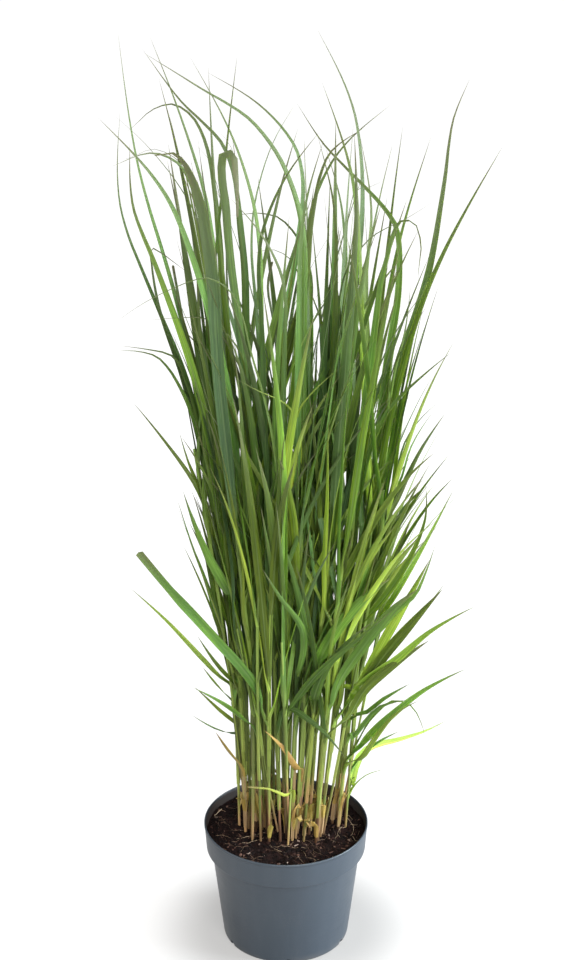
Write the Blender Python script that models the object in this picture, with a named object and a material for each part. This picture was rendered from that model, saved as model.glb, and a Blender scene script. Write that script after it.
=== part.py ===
"""A tall ornamental grass clump standing in a plastic nursery pot.

Origin at the centre of the pot's underside, +Z up, metres. The clump's front faces -Y.
Every shoot is a culm that runs in line into its uppermost leaf blade. The lower leaves that
stand well out of the clump are pieces of their own, each set against the culm that bears it.
"""

import math
import random

import bmesh
import bpy
import numpy as np
from mathutils import Vector
from mathutils.kdtree import KDTree

# The pot: a 19 cm container, which holds about three litres.
POT_HEIGHT = 0.148
RIM_RADIUS = 0.095
BAND_HEIGHT = 0.032
BAND_LOW_RADIUS = 0.0925
BODY_TOP_RADIUS = 0.0865
BASE_RADIUS = 0.073
CORNER_RADIUS = 0.005
WALL = 0.0016
FLOOR = 0.002
LIP_ROUND = 0.0008
LIP_HEIGHT = 0.003
BAND_STEP = 0.001
INNER_CORNER = 0.004
TURNED_STEPS = 36
CORNER_STEPS = 3
DRAIN_HOLES = 6
DRAIN_RADIUS = 0.0042
DRAIN_HEIGHT = 0.0035
DRAIN_TURN = 1.5
DRAIN_DROOP = 38
DRILL_LENGTH = 0.012
DRILL_SIDES = 10

# The compost fills the pot to just below its rim. It sinks a little where it meets the wall.
SOIL_TOP = 0.134
SOIL_EDGE_DROP = 0.004
SOIL_EDGE_WIDTH = 0.006
GAP = 0.0003

# Where the shoots come up: staggered rows, the front row first.
ROW_STEP = 0.0125
FOOT_PITCH = 0.0135
FRONT_ROW_Y = -0.028
FOOT_WANDER = 0.0012

# A shoot: a round culm for a share of its length, then a blade that opens out and tapers.
CULM_RADIUS = 0.0021
CULM_SHARE = 0.45
CULM_TAPER = 0.12
BLADE_HALF_WIDTH = 0.0044
BLADE_HALF_THICKNESS = 0.0006
BLADE_OPENS_BY = 0.25
BLADE_TAPERS_FROM = 0.35
BLADE_TAPER_POWER = 1.4
TIP_HALF_WIDTH = 0.0004
SHOOT_SIDES = 6

# A side blade: widest in its middle, narrower at its base and pointed at its tip.
SIDE_BLADE_HALF_WIDTH = 0.0042
SIDE_BLADE_BASE_SHARE = 0.35
SIDE_BLADE_OPENS_OVER = 0.3
SIDE_BLADE_TAPERS_FROM = 0.45
SIDE_BLADE_TAPER_POWER = 1.5
SIDE_BLADE_SIDES = 4

# How many rings a stretch between two points of a growth line gets.
SHORT_STRETCH = 0.07
RINGS_IN_A_SHORT_STRETCH = 2
RINGS_IN_A_LONG_STRETCH = 3

# Blades that would touch lean away from each other until this far apart. A side blade may lie
# close to its own shoot over the first part of its length.
ROOM = 0.0105
ROOM_AT_THE_CROWN = 0.0062
CROWN_HEIGHT = 0.15
SIDEWAYS_SHARE = 0.35
CLOSE_TO_ITS_SHOOT = 0.045
SETTLING_ROUNDS = 60
SAMPLE_STEP = 0.005
PLACES_TO_HOLD_AT = 240

# Each shoot: the row and column of its foot, its face's turn from the front in degrees,
# and the points that its stem and top blade grow through, up to the tip.
SHOOTS = [
    ((3, -4), 35, [(-0.070, 0.015, 0.48), (-0.110, 0.020, 0.694), (-0.142, 0.030, 0.776),
                   (-0.174, 0.045, 0.868), (-0.173, 0.060, 0.955)]),
    ((2, -3), -10, [(-0.060, -0.012, 0.45), (-0.098, -0.030, 0.714), (-0.136, -0.045, 0.839),
                    (-0.152, -0.060, 0.892), (-0.153, -0.075, 0.952)]),
    ((4, -3), 50, [(-0.068, 0.035, 0.45), (-0.098, 0.045, 0.674), (-0.123, 0.060, 0.779),
                   (-0.157, 0.085, 0.900), (-0.175, 0.110, 1.026)]),
    ((1, -2), 25, [(-0.040, -0.036, 0.45), (-0.068, -0.055, 0.736), (-0.091, -0.070, 0.838),
                   (-0.116, -0.085, 0.908), (-0.172, -0.120, 0.989)]),
    ((1, -1), 0, [(-0.050, -0.045, 0.48), (-0.070, -0.060, 0.720), (-0.080, -0.070, 0.865),
                  (-0.092, -0.080, 0.927), (-0.109, -0.095, 0.956), (-0.127, -0.110, 0.957)]),
    ((3, -2), 15, [(-0.046, 0.030, 0.45), (-0.062, 0.040, 0.724), (-0.074, 0.050, 0.866),
                   (-0.080, 0.065, 0.998)]),
    ((5, -3), 40, [(-0.058, 0.060, 0.45), (-0.072, 0.085, 0.698), (-0.086, 0.105, 0.858),
                   (-0.115, 0.125, 0.951), (-0.142, 0.150, 1.016)]),
    ((2, -2), 20, [(-0.038, 0.004, 0.45), (-0.042, 0.000, 0.72), (-0.046, -0.005, 0.852),
                   (-0.066, 0.000, 0.945), (-0.105, 0.010, 0.983), (-0.139, 0.020, 1.027)]),
    ((2, 1), 30, [(0.012, -0.020, 0.45), (0.018, -0.030, 0.75), (0.012, -0.035, 0.888),
                  (-0.006, -0.040, 0.937), (-0.037, -0.045, 0.979), (-0.079, -0.055, 1.008),
                  (-0.130, -0.060, 1.041)]),
    ((4, -1), 45, [(-0.022, 0.030, 0.45), (-0.026, 0.040, 0.716), (-0.034, 0.050, 0.868),
                   (-0.051, 0.060, 0.924), (-0.095, 0.090, 1.005)]),
    ((1, -3), 0, [(-0.036, -0.016, 0.45), (-0.045, -0.020, 0.72), (-0.060, -0.020, 0.860),
                  (-0.062, -0.024, 0.930), (-0.060, -0.034, 0.946), (-0.062, -0.046, 0.905)]),
    ((3, -3), 20, [(-0.058, 0.012, 0.45), (-0.080, 0.005, 0.722), (-0.091, -0.005, 0.881),
                   (-0.107, -0.015, 0.925), (-0.132, -0.030, 0.941), (-0.164, -0.050, 0.936)]),
    ((5, -2), 10, [(-0.052, 0.070, 0.45), (-0.068, 0.100, 0.680), (-0.078, 0.120, 0.868),
                   (-0.087, 0.130, 0.915), (-0.101, 0.140, 0.941), (-0.120, 0.150, 0.952),
                   (-0.167, 0.170, 0.924)]),
    ((4, 0), 50, [(-0.020, 0.045, 0.45), (-0.030, 0.065, 0.72), (-0.034, 0.085, 0.856),
                  (-0.012, 0.105, 0.920), (0.005, 0.130, 0.947)]),
    ((5, -1), 30, [(-0.020, 0.070, 0.45), (-0.006, 0.090, 0.70), (0.014, 0.100, 0.826),
                   (0.018, 0.105, 0.873), (0.008, 0.110, 0.914), (-0.015, 0.120, 0.946),
                   (-0.076, 0.140, 0.984)]),
    ((0, 0), -35, [(-0.012, -0.040, 0.45), (-0.024, -0.055, 0.752), (-0.024, -0.065, 0.868),
                   (-0.005, -0.085, 0.922), (0.026, -0.120, 0.976)]),
    ((3, 1), -30, [(0.020, 0.025, 0.45), (0.026, 0.045, 0.738), (0.030, 0.055, 0.871),
                   (0.051, 0.070, 0.911), (0.102, 0.100, 0.955)]),
    ((2, -1), -10, [(-0.022, -0.006, 0.45), (-0.010, -0.010, 0.68), (0.018, -0.015, 0.792),
                    (0.029, -0.020, 0.891), (0.044, -0.030, 0.942), (0.068, -0.040, 0.963)]),
    ((0, 1), 20, [(0.008, -0.050, 0.45), (0.012, -0.075, 0.752), (0.018, -0.095, 0.903),
                  (0.033, -0.125, 0.969)]),
    ((1, 1), -25, [(0.030, -0.022, 0.45), (0.050, -0.035, 0.782), (0.046, -0.050, 0.900),
                   (0.033, -0.060, 0.956)]),
    ((3, 4), -20, [(0.082, 0.015, 0.45), (0.108, 0.030, 0.696), (0.120, 0.045, 0.804),
                   (0.115, 0.055, 0.843), (0.085, 0.065, 0.882), (0.038, 0.070, 0.930),
                   (0.016, 0.070, 0.962)]),
    ((4, 2), 30, [(0.048, 0.040, 0.45), (0.074, 0.055, 0.738), (0.083, 0.070, 0.892),
                  (0.071, 0.085, 0.958), (0.037, 0.100, 1.032)]),
    ((1, 2), 10, [(0.045, -0.018, 0.45), (0.068, -0.025, 0.762), (0.067, -0.020, 0.910),
                  (0.039, -0.005, 0.997)]),
    ((0, 2), 0, [(0.040, -0.045, 0.45), (0.065, -0.065, 0.797), (0.069, -0.075, 0.892),
                 (0.066, -0.085, 0.964)]),
    ((5, 1), 20, [(0.035, 0.060, 0.45), (0.062, 0.085, 0.718), (0.057, 0.105, 0.864),
                  (0.045, 0.120, 0.903)]),
    ((3, 5), -20, [(0.092, 0.010, 0.45), (0.118, 0.015, 0.688), (0.150, 0.025, 0.804),
                   (0.165, 0.035, 0.906), (0.172, 0.040, 0.962), (0.184, 0.050, 0.990)]),
    ((2, 5), -40, [(0.085, -0.010, 0.45), (0.114, -0.025, 0.682), (0.141, -0.040, 0.795),
                   (0.205, -0.080, 0.950)]),
    ((4, 5), -45, [(0.080, 0.035, 0.45), (0.105, 0.055, 0.738), (0.123, 0.075, 0.829),
                   (0.151, 0.105, 0.917)]),
    ((1, 3), -15, [(0.066, -0.035, 0.45), (0.088, -0.055, 0.742), (0.102, -0.070, 0.852),
                   (0.113, -0.080, 0.885), (0.124, -0.090, 0.887), (0.130, -0.100, 0.840)]),
    ((0, 3), -10, [(0.055, -0.055, 0.45), (0.085, -0.085, 0.702), (0.099, -0.100, 0.798),
                   (0.109, -0.125, 0.871)]),
    ((0, -1), 30, [(-0.012, -0.070, 0.45), (0.002, -0.095, 0.757), (-0.004, -0.110, 0.835),
                   (-0.024, -0.125, 0.883), (-0.049, -0.140, 0.918)]),
    ((5, 2), 0, [(0.028, 0.080, 0.45), (0.026, 0.120, 0.680), (0.014, 0.135, 0.806),
                 (-0.007, 0.140, 0.829), (-0.053, 0.150, 0.830)]),
    ((2, 2), 0, [(0.034, 0.002, 0.45), (0.041, 0.010, 0.73), (0.048, 0.020, 0.800),
                 (0.056, 0.030, 0.840)]),
    ((3, 3), 15, [(0.075, 0.020, 0.45), (0.088, 0.035, 0.700), (0.080, 0.050, 0.787),
                  (0.085, 0.065, 0.855), (0.079, 0.080, 0.922)]),
    ((5, 0), 170, [(0.000, 0.090, 0.45), (-0.010, 0.135, 0.70), (-0.030, 0.165, 0.860)]),
    ((5, 3), 150, [(0.065, 0.080, 0.45), (0.085, 0.120, 0.68), (0.110, 0.155, 0.840)]),
    ((4, -2), 200, [(-0.048, 0.075, 0.45), (-0.072, 0.120, 0.67), (-0.085, 0.142, 0.800),
                    (-0.112, 0.155, 0.870)]),
    ((1, 0), 10, [(-0.004, -0.060, 0.45), (-0.010, -0.105, 0.68), (-0.022, -0.150, 0.830)]),
    ((2, 3), -30, [(0.058, -0.014, 0.45), (0.090, -0.030, 0.68), (0.106, -0.042, 0.800),
                   (0.128, -0.055, 0.860)]),
    ((2, 0), 25, [(-0.008, -0.030, 0.45), (-0.010, -0.050, 0.70), (0.002, -0.075, 0.880)]),
]

# Each side blade: the number of the shoot that bears it, the height it leaves that shoot at,
# its face's turn from the front in degrees, and the points it grows through.
SIDE_BLADES = [
    (1, 0.49, 30, [(-0.098, 0.000, 0.570), (-0.127, 0.010, 0.611), (-0.167, 0.030, 0.656)]),
    (31, 0.31, 10, [(-0.034, -0.050, 0.350), (-0.068, -0.065, 0.406), (-0.123, -0.080, 0.482),
                    (-0.155, -0.090, 0.531)]),
    (3, 0.30, 25, [(-0.092, 0.035, 0.336), (-0.136, 0.055, 0.378), (-0.180, 0.080, 0.409)]),
    (4, 0.28, 15, [(-0.052, -0.045, 0.315), (-0.070, -0.055, 0.332), (-0.102, -0.070, 0.360)]),
    (1, 0.60, 20, [(-0.112, -0.020, 0.690), (-0.134, -0.035, 0.728), (-0.175, -0.060, 0.743)]),
    (38, 0.64, 20, [(-0.037, -0.085, 0.755), (-0.058, -0.090, 0.818), (-0.077, -0.095, 0.831),
                    (-0.105, -0.100, 0.825), (-0.175, -0.120, 0.788)]),
    (29, 0.30, -15, [(0.087, -0.035, 0.347), (0.122, -0.045, 0.382), (0.153, -0.055, 0.418),
                     (0.203, -0.075, 0.461)]),
    (27, 0.23, -25, [(0.092, -0.004, 0.258), (0.120, -0.015, 0.296), (0.151, -0.025, 0.330),
                     (0.199, -0.045, 0.370)]),
    (26, 0.165, -10, [(0.078, 0.016, 0.210), (0.093, 0.025, 0.228), (0.127, 0.035, 0.234),
                      (0.161, 0.045, 0.240), (0.188, 0.055, 0.249)]),
    (26, 0.38, -20, [(0.114, 0.005, 0.423), (0.149, 0.020, 0.482), (0.186, 0.040, 0.550)]),
    (28, 0.30, -20, [(0.105, 0.040, 0.335), (0.131, 0.055, 0.356), (0.157, 0.070, 0.381),
                     (0.183, 0.090, 0.409)]),
    (29, 0.40, -30, [(0.102, -0.035, 0.445), (0.133, -0.045, 0.504), (0.148, -0.055, 0.558),
                     (0.146, -0.060, 0.597)]),
    (26, 0.50, -15, [(0.121, 0.000, 0.555), (0.146, 0.010, 0.608), (0.173, 0.025, 0.645)]),
    (29, 0.60, -35, [(0.108, -0.045, 0.675), (0.138, -0.055, 0.712), (0.169, -0.070, 0.746)]),
    (38, 0.31, -10, [(0.036, -0.065, 0.380), (0.068, -0.085, 0.418), (0.112, -0.110, 0.473)]),
    (19, 0.36, 10, [(0.016, -0.075, 0.437), (-0.004, -0.090, 0.474), (-0.026, -0.110, 0.523)]),
    (35, 0.35, 170, [(-0.006, 0.110, 0.420), (-0.012, 0.145, 0.465), (-0.022, 0.170, 0.490)]),
    (36, 0.30, 150, [(0.080, 0.095, 0.375), (0.100, 0.130, 0.420), (0.118, 0.155, 0.440)]),
]


def clear_scene():
    for leftover in list(bpy.data.objects):
        bpy.data.objects.remove(leftover, do_unlink=True)


def finish_of(name, colour, roughness):
    material = bpy.data.materials.new(name)
    material.use_nodes = True
    shader = material.node_tree.nodes["Principled BSDF"]
    shader.inputs["Base Color"].default_value = (*colour, 1.0)
    shader.inputs["Roughness"].default_value = roughness
    shader.inputs["Metallic"].default_value = 0.0
    return material


def object_from(name, bm, material):
    """The mesh becomes a named, smooth-shaded object."""
    bmesh.ops.recalc_face_normals(bm, faces=bm.faces[:])
    mesh = bpy.data.meshes.new(name)
    bm.to_mesh(mesh)
    bm.free()
    mesh.materials.append(material)
    mesh.shade_smooth()
    mesh.set_sharp_from_angle(angle=math.radians(35))
    piece = bpy.data.objects.new(name, mesh)
    bpy.context.scene.collection.objects.link(piece)
    return piece


def turned(name, profile, material):
    """A closed profile of (radius, height) points, spun about the upright axis."""
    bm = bmesh.new()
    outline = [bm.verts.new((radius, 0.0, height)) for radius, height in profile]
    edges = [bm.edges.new(pair) for pair in zip(outline, outline[1:])]
    bmesh.ops.spin(
        bm,
        geom=outline + edges,
        cent=(0, 0, 0),
        axis=(0, 0, 1),
        angle=2 * math.pi,
        steps=TURNED_STEPS,
        use_merge=True,
    )
    bmesh.ops.remove_doubles(bm, verts=bm.verts[:], dist=1e-6)
    return object_from(name, bm, material)


def rounded_corner(flat_radius, round_radius):
    """The points of a quarter round, from the flat underside up to the wall."""
    turns = [math.radians(90) * step / CORNER_STEPS for step in range(CORNER_STEPS + 1)]
    return [
        (flat_radius + round_radius * math.sin(turn), round_radius * (1 - math.cos(turn)))
        for turn in turns
    ]


def inner_radius(height):
    """The pot's inside radius, the wall's thickness in from its tapering body."""
    band_bottom = POT_HEIGHT - BAND_HEIGHT
    if height > band_bottom:
        share = (height - band_bottom) / BAND_HEIGHT
        return BAND_LOW_RADIUS + (RIM_RADIUS - BAND_LOW_RADIUS) * share - WALL
    share = height / band_bottom
    return BASE_RADIUS + (BODY_TOP_RADIUS - BASE_RADIUS) * share - WALL


def make_pot():
    plastic = finish_of("grey_plastic", (0.115, 0.145, 0.195), 0.55)
    band_bottom = POT_HEIGHT - BAND_HEIGHT
    outside = [(0.0, 0.0)]
    outside += rounded_corner(BASE_RADIUS - CORNER_RADIUS, CORNER_RADIUS)
    outside += [
        (BODY_TOP_RADIUS, band_bottom - 2 * BAND_STEP),
        (BODY_TOP_RADIUS + BAND_STEP, band_bottom - BAND_STEP / 2),
        (BAND_LOW_RADIUS - BAND_STEP, band_bottom),
        (BAND_LOW_RADIUS, band_bottom + BAND_STEP),
        (RIM_RADIUS - LIP_ROUND, POT_HEIGHT - LIP_HEIGHT),
        (RIM_RADIUS, POT_HEIGHT - LIP_HEIGHT + LIP_ROUND),
        (RIM_RADIUS, POT_HEIGHT - LIP_ROUND),
        (RIM_RADIUS - LIP_ROUND, POT_HEIGHT),
    ]
    inside = [
        (inner_radius(POT_HEIGHT) + LIP_ROUND / 2, POT_HEIGHT),
        (inner_radius(POT_HEIGHT) - LIP_ROUND / 2, POT_HEIGHT - LIP_ROUND),
        (inner_radius(band_bottom + 2 * BAND_STEP), band_bottom + 2 * BAND_STEP),
        (inner_radius(band_bottom), band_bottom - 2 * BAND_STEP),
        (inner_radius(FLOOR) - INNER_CORNER, FLOOR + INNER_CORNER),
        (inner_radius(FLOOR) - 2 * INNER_CORNER, FLOOR),
        (0.0, FLOOR),
    ]
    pot = turned("pot", outside + inside, plastic)
    drill_drain_holes(pot)
    return pot


def drill_drain_holes(pot):
    """Round holes through the bottom corner, aimed up at the middle of the pot."""
    bm = bmesh.new()
    for hole in range(DRAIN_HOLES):
        around = 2 * math.pi * (hole + 0.5) / DRAIN_HOLES + math.radians(DRAIN_TURN)
        outward = Vector((math.cos(around), math.sin(around), 0))
        middle = outward * (BASE_RADIUS - WALL) + Vector((0, 0, DRAIN_HEIGHT))
        droop = Vector((0, 0, -math.tan(math.radians(DRAIN_DROOP))))
        aim = (outward + droop).to_track_quat("Z", "Y")
        drill = bmesh.ops.create_cone(
            bm,
            cap_ends=True,
            segments=DRILL_SIDES,
            radius1=DRAIN_RADIUS,
            radius2=DRAIN_RADIUS,
            depth=DRILL_LENGTH,
        )
        bmesh.ops.rotate(bm, verts=drill["verts"], matrix=aim.to_matrix())
        bmesh.ops.translate(bm, verts=drill["verts"], vec=middle)
    drills = object_from("drain_hole_drills", bm, pot.data.materials[0])
    drills.hide_render = True
    drills.display_type = "WIRE"
    cut = pot.modifiers.new("drain_holes", "BOOLEAN")
    cut.operation = "DIFFERENCE"
    cut.solver = "EXACT"
    cut.object = drills


def make_soil():
    compost = finish_of("compost", (0.020, 0.012, 0.010), 0.95)
    band_bottom = POT_HEIGHT - BAND_HEIGHT
    profile = [
        (0.0, FLOOR + GAP),
        (inner_radius(FLOOR) - 2 * INNER_CORNER - GAP, FLOOR + GAP),
        (inner_radius(FLOOR) - INNER_CORNER - 2 * GAP, FLOOR + INNER_CORNER + GAP),
        (inner_radius(band_bottom) - 2 * GAP, band_bottom - 2 * BAND_STEP + GAP),
        (inner_radius(band_bottom + 2 * BAND_STEP) - 2 * GAP, band_bottom + 2 * BAND_STEP + GAP),
        (inner_radius(SOIL_TOP) - 2 * GAP, SOIL_TOP - SOIL_EDGE_DROP),
        (inner_radius(SOIL_TOP) - SOIL_EDGE_WIDTH, SOIL_TOP),
        (0.0, SOIL_TOP),
    ]
    return turned("soil", profile, compost)


def foot_at(row, column, wander):
    """A shoot's foot on the soil: rows lie half a pitch aside from each other."""
    stagger = 0.0 if row % 2 else 0.5
    return (
        FOOT_PITCH * (column - stagger) + wander.uniform(-FOOT_WANDER, FOOT_WANDER),
        FRONT_ROW_Y + ROW_STEP * row + wander.uniform(-FOOT_WANDER, FOOT_WANDER),
        SOIL_TOP + GAP,
    )


class GrowthLine:
    """The smooth line through a blade's points. Knots are spaced as the points are."""

    def __init__(self, points):
        self.points = np.array(points, dtype=float)

    def knots(self):
        steps = np.linalg.norm(np.diff(self.points, axis=0), axis=1)
        return np.concatenate([[0.0], np.cumsum(steps)])

    def slopes(self, knots):
        steps = np.diff(knots)[:, None]
        runs = np.diff(self.points, axis=0) / steps
        between = (runs[:-1] * steps[1:] + runs[1:] * steps[:-1]) / (steps[1:] + steps[:-1])
        first = 1.5 * runs[:1] - 0.5 * between[:1]
        last = 1.5 * runs[-1:] - 0.5 * between[-1:]
        return np.concatenate([first, between, last])

    def at(self, distances):
        """Places and directions at the distances, with the stretch each one lies in."""
        knots = self.knots()
        slopes = self.slopes(knots)
        stretch = np.clip(np.searchsorted(knots, distances, side="right") - 1, 0, len(knots) - 2)
        length = (knots[stretch + 1] - knots[stretch])[:, None]
        share = ((distances - knots[stretch])[:, None]) / length
        start, end = self.points[stretch], self.points[stretch + 1]
        leave, arrive = slopes[stretch] * length, slopes[stretch + 1] * length
        places = (
            start * (2 * share**3 - 3 * share**2 + 1)
            + leave * (share**3 - 2 * share**2 + share)
            + end * (3 * share**2 - 2 * share**3)
            + arrive * (share**3 - share**2)
        )
        ways = (
            start * (6 * share**2 - 6 * share)
            + leave * (3 * share**2 - 4 * share + 1)
            + end * (6 * share - 6 * share**2)
            + arrive * (3 * share**2 - 2 * share)
        )
        ways /= np.linalg.norm(ways, axis=1)[:, None]
        return places, ways, stretch, share[:, 0]

    def ring_distances(self, rings_when_long):
        """Where the rings go: evenly within each stretch, and no more than its bend needs."""
        knots = self.knots()
        found = []
        for low, high in zip(knots, knots[1:]):
            rings = rings_when_long if high - low > SHORT_STRETCH else RINGS_IN_A_SHORT_STRETCH
            found += [low + (high - low) * ring / rings for ring in range(rings)]
        return np.array([*found, knots[-1]])


class Blade(GrowthLine):
    """A shoot, or a side blade that keeps hold of the shoot that bears it."""

    def __init__(self, name, face, points, bearer=None, height=0.0):
        super().__init__(points)
        self.name = name
        self.face = math.radians(face)
        self.bearer = bearer
        self.height = height

    def hold_on(self):
        """Sets a side blade's base just off its shoot's surface, on the side it grows to."""
        if self.bearer is None:
            return
        distances = np.linspace(0, self.bearer.knots()[-1], PLACES_TO_HOLD_AT)
        places = self.bearer.at(distances)[0]
        place = places[np.argmin(np.abs(places[:, 2] - self.height))]
        outward = self.points[1] - place
        outward[2] = 0.0
        outward /= np.linalg.norm(outward)
        self.points[0] = place + outward * (CULM_RADIUS + BLADE_HALF_WIDTH / 2 + GAP)


def settle(blades):
    """Blades that come too near each other lean apart, mostly forwards and backwards."""
    for _ in range(SETTLING_ROUNDS):
        samples, owners, shares = [], [], []
        for number, blade in enumerate(blades):
            blade.hold_on()
            distances = np.arange(0, blade.knots()[-1], SAMPLE_STEP)
            places, _, stretch, share = blade.at(distances)
            samples.append(places)
            owners += [number] * len(places)
            shares += list(zip(stretch, share, distances))
        samples = np.concatenate(samples)
        tree = KDTree(len(samples))
        for index, place in enumerate(samples):
            tree.insert(place, index)
        tree.balance()
        pushes = [np.zeros_like(blade.points) for blade in blades]
        weights = [np.full(len(blade.points), 1e-9) for blade in blades]
        for index, place in enumerate(samples):
            blade = blades[owners[index]]
            stretch, share, distance = shares[index]
            for near, other, apart in tree.find_range(place, ROOM):
                rival = blades[owners[other]]
                if rival is blade:
                    continue
                if rival.bearer is blade and shares[other][2] < CLOSE_TO_ITS_SHOOT:
                    continue
                if blade.bearer is rival and distance < CLOSE_TO_ITS_SHOOT:
                    continue
                crown = min(1.0, max(0.0, (place[2] - SOIL_TOP) / CROWN_HEIGHT))
                room = ROOM_AT_THE_CROWN + (ROOM - ROOM_AT_THE_CROWN) * crown
                if apart >= room:
                    continue
                away = place - np.array(near)
                away[0] *= SIDEWAYS_SHARE
                away[2] = 0.0
                if np.linalg.norm(away) < 1e-4:
                    away = np.array((0.0, 1.0 if owners[index] > owners[other] else -1.0, 0.0))
                away *= 0.5 * (room - apart) / np.linalg.norm(away)
                for knot, part in ((stretch, 1 - share), (stretch + 1, share)):
                    pushes[owners[index]][knot] += away * part
                    weights[owners[index]][knot] += part
        for blade, push, weight in zip(blades, pushes, weights):
            moved = push / np.maximum(weight, 1.0)[:, None]
            moved[0] = 0.0
            blade.points = blade.points + moved
    for blade in blades:
        blade.hold_on()


def shoot_section(share):
    """Half width and half thickness of a shoot: a round culm, then a flat blade."""
    if share < CULM_SHARE:
        radius = CULM_RADIUS * (1.0 - CULM_TAPER * share / CULM_SHARE)
        return radius, radius
    along = (share - CULM_SHARE) / (1.0 - CULM_SHARE)
    opened = min(1.0, along / BLADE_OPENS_BY)
    tapering = max(0.0, (along - BLADE_TAPERS_FROM) / (1.0 - BLADE_TAPERS_FROM))
    taper = 1.0 - tapering**BLADE_TAPER_POWER
    width = (CULM_RADIUS + (BLADE_HALF_WIDTH - CULM_RADIUS) * opened) * taper
    thickness = CULM_RADIUS + (BLADE_HALF_THICKNESS - CULM_RADIUS) * opened
    return max(width, TIP_HALF_WIDTH), min(thickness, BLADE_HALF_THICKNESS + thickness * taper)


def side_section(share):
    """Half width and half thickness of a side blade: narrow at both ends."""
    rise = min(1.0, SIDE_BLADE_BASE_SHARE + share / SIDE_BLADE_OPENS_OVER)
    tapering = max(0.0, (share - SIDE_BLADE_TAPERS_FROM) / (1.0 - SIDE_BLADE_TAPERS_FROM))
    width = SIDE_BLADE_HALF_WIDTH * rise * (1.0 - tapering**SIDE_BLADE_TAPER_POWER)
    return max(width, TIP_HALF_WIDTH), BLADE_HALF_THICKNESS


def make_blade(blade, section, sides, rings_when_long, material):
    """Rings along the growth line, bridged, with a flat foot and a closed tip."""
    distances = blade.ring_distances(rings_when_long)
    places, ways, _, _ = blade.at(distances)
    facing = np.array((math.sin(blade.face), -math.cos(blade.face), 0.0))
    bm = bmesh.new()
    before = None
    for distance, place, way in zip(distances, places, ways):
        across = np.cross(way, facing)
        across /= np.linalg.norm(across)
        through = np.cross(across, way)
        half_width, half_thickness = section(distance / distances[-1])
        if before is None and blade.bearer is None:
            across, through = np.array((1.0, 0, 0)), np.array((0, 1.0, 0))
        ring = [
            bm.verts.new(
                place
                + across * half_width * math.cos(2 * math.pi * side / sides)
                + through * half_thickness * math.sin(2 * math.pi * side / sides)
            )
            for side in range(sides)
        ]
        edges = [bm.edges.new((ring[side], ring[(side + 1) % sides])) for side in range(sides)]
        if before is None:
            bm.faces.new(ring)
        else:
            bmesh.ops.bridge_loops(bm, edges=before + edges)
        before = edges
        last = ring
    bm.faces.new(last)
    return object_from(blade.name, bm, material)


def make_clump():
    leaf_green = finish_of("leaf_green", (0.105, 0.190, 0.070), 0.55)
    young_green = finish_of("young_leaf_green", (0.220, 0.360, 0.080), 0.55)
    wander = random.Random(7)
    shoots = [
        Blade(f"shoot_{number:02d}", face, [foot_at(*foot, wander), *points])
        for number, (foot, face, points) in enumerate(SHOOTS, 1)
    ]
    side_blades = [
        Blade(f"side_blade_{number:02d}", face, [(0, 0, 0), *points], shoots[bearer - 1], height)
        for number, (bearer, height, face, points) in enumerate(SIDE_BLADES, 1)
    ]
    settle(shoots + side_blades)
    for shoot in shoots:
        make_blade(shoot, shoot_section, SHOOT_SIDES, RINGS_IN_A_LONG_STRETCH, leaf_green)
    for blade in side_blades:
        make_blade(blade, side_section, SIDE_BLADE_SIDES, RINGS_IN_A_SHORT_STRETCH, young_green)


clear_scene()
make_pot()
make_soil()
make_clump()
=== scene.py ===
import math
import random

import bmesh
import bpy
import numpy as np
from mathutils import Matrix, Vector, noise


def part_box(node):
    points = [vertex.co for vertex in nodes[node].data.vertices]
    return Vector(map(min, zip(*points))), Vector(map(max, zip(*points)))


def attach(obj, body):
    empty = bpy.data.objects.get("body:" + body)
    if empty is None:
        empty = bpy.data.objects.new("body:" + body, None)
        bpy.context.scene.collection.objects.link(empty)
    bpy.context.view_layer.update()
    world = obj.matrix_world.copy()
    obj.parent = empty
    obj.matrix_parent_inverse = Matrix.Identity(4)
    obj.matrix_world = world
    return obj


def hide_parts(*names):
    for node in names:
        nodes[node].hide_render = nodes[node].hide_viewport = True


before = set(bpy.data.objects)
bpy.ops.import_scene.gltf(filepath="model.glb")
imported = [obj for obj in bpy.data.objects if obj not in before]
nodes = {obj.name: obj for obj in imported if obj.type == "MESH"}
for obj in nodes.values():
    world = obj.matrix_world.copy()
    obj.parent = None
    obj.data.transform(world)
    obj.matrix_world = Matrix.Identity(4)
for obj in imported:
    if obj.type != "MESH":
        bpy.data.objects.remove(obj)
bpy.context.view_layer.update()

luck = random.Random(41)


# camera, lights and floor

studio = {
    "cameraPlace": (-0.004, -2.0, 1.4),
    "cameraPitch": 67.6,
    "lens": 75,
    "skyColour": (1.0, 1.0, 1.0),
    "skyStrength": 0.3,
    "floorColour": (0.2, 0.198, 0.196),
    # the floor's glow rises with distance from the pot, painting a soft shadow round its foot
    "floorGlow": (0.41, 0.42, 0.13),
    "floorGlowFrom": (0.085, 0.18, 1.6),
    "mirroredGlow": 0.64,
    "floorSize": 60,
}

# name, place, size, watts, colour
softLights = [
    ("rightSoftbox", (2.3, -0.3, 1.0), (1.4, 2.0), 158, (0.87, 0.96, 1.0)),
    ("frontSoftbox", (0.8, -2.6, 1.35), (1.6, 1.8), 88, (1.0, 0.99, 0.96)),
    ("topSoftbox", (0.0, -0.2, 3.0), (1.8, 1.8), 18, (1.0, 1.0, 1.0)),
    ("leftSoftbox", (-2.2, -0.8, 1.5), (1.4, 2.0), 30, (1.0, 0.93, 0.8)),
]


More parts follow.
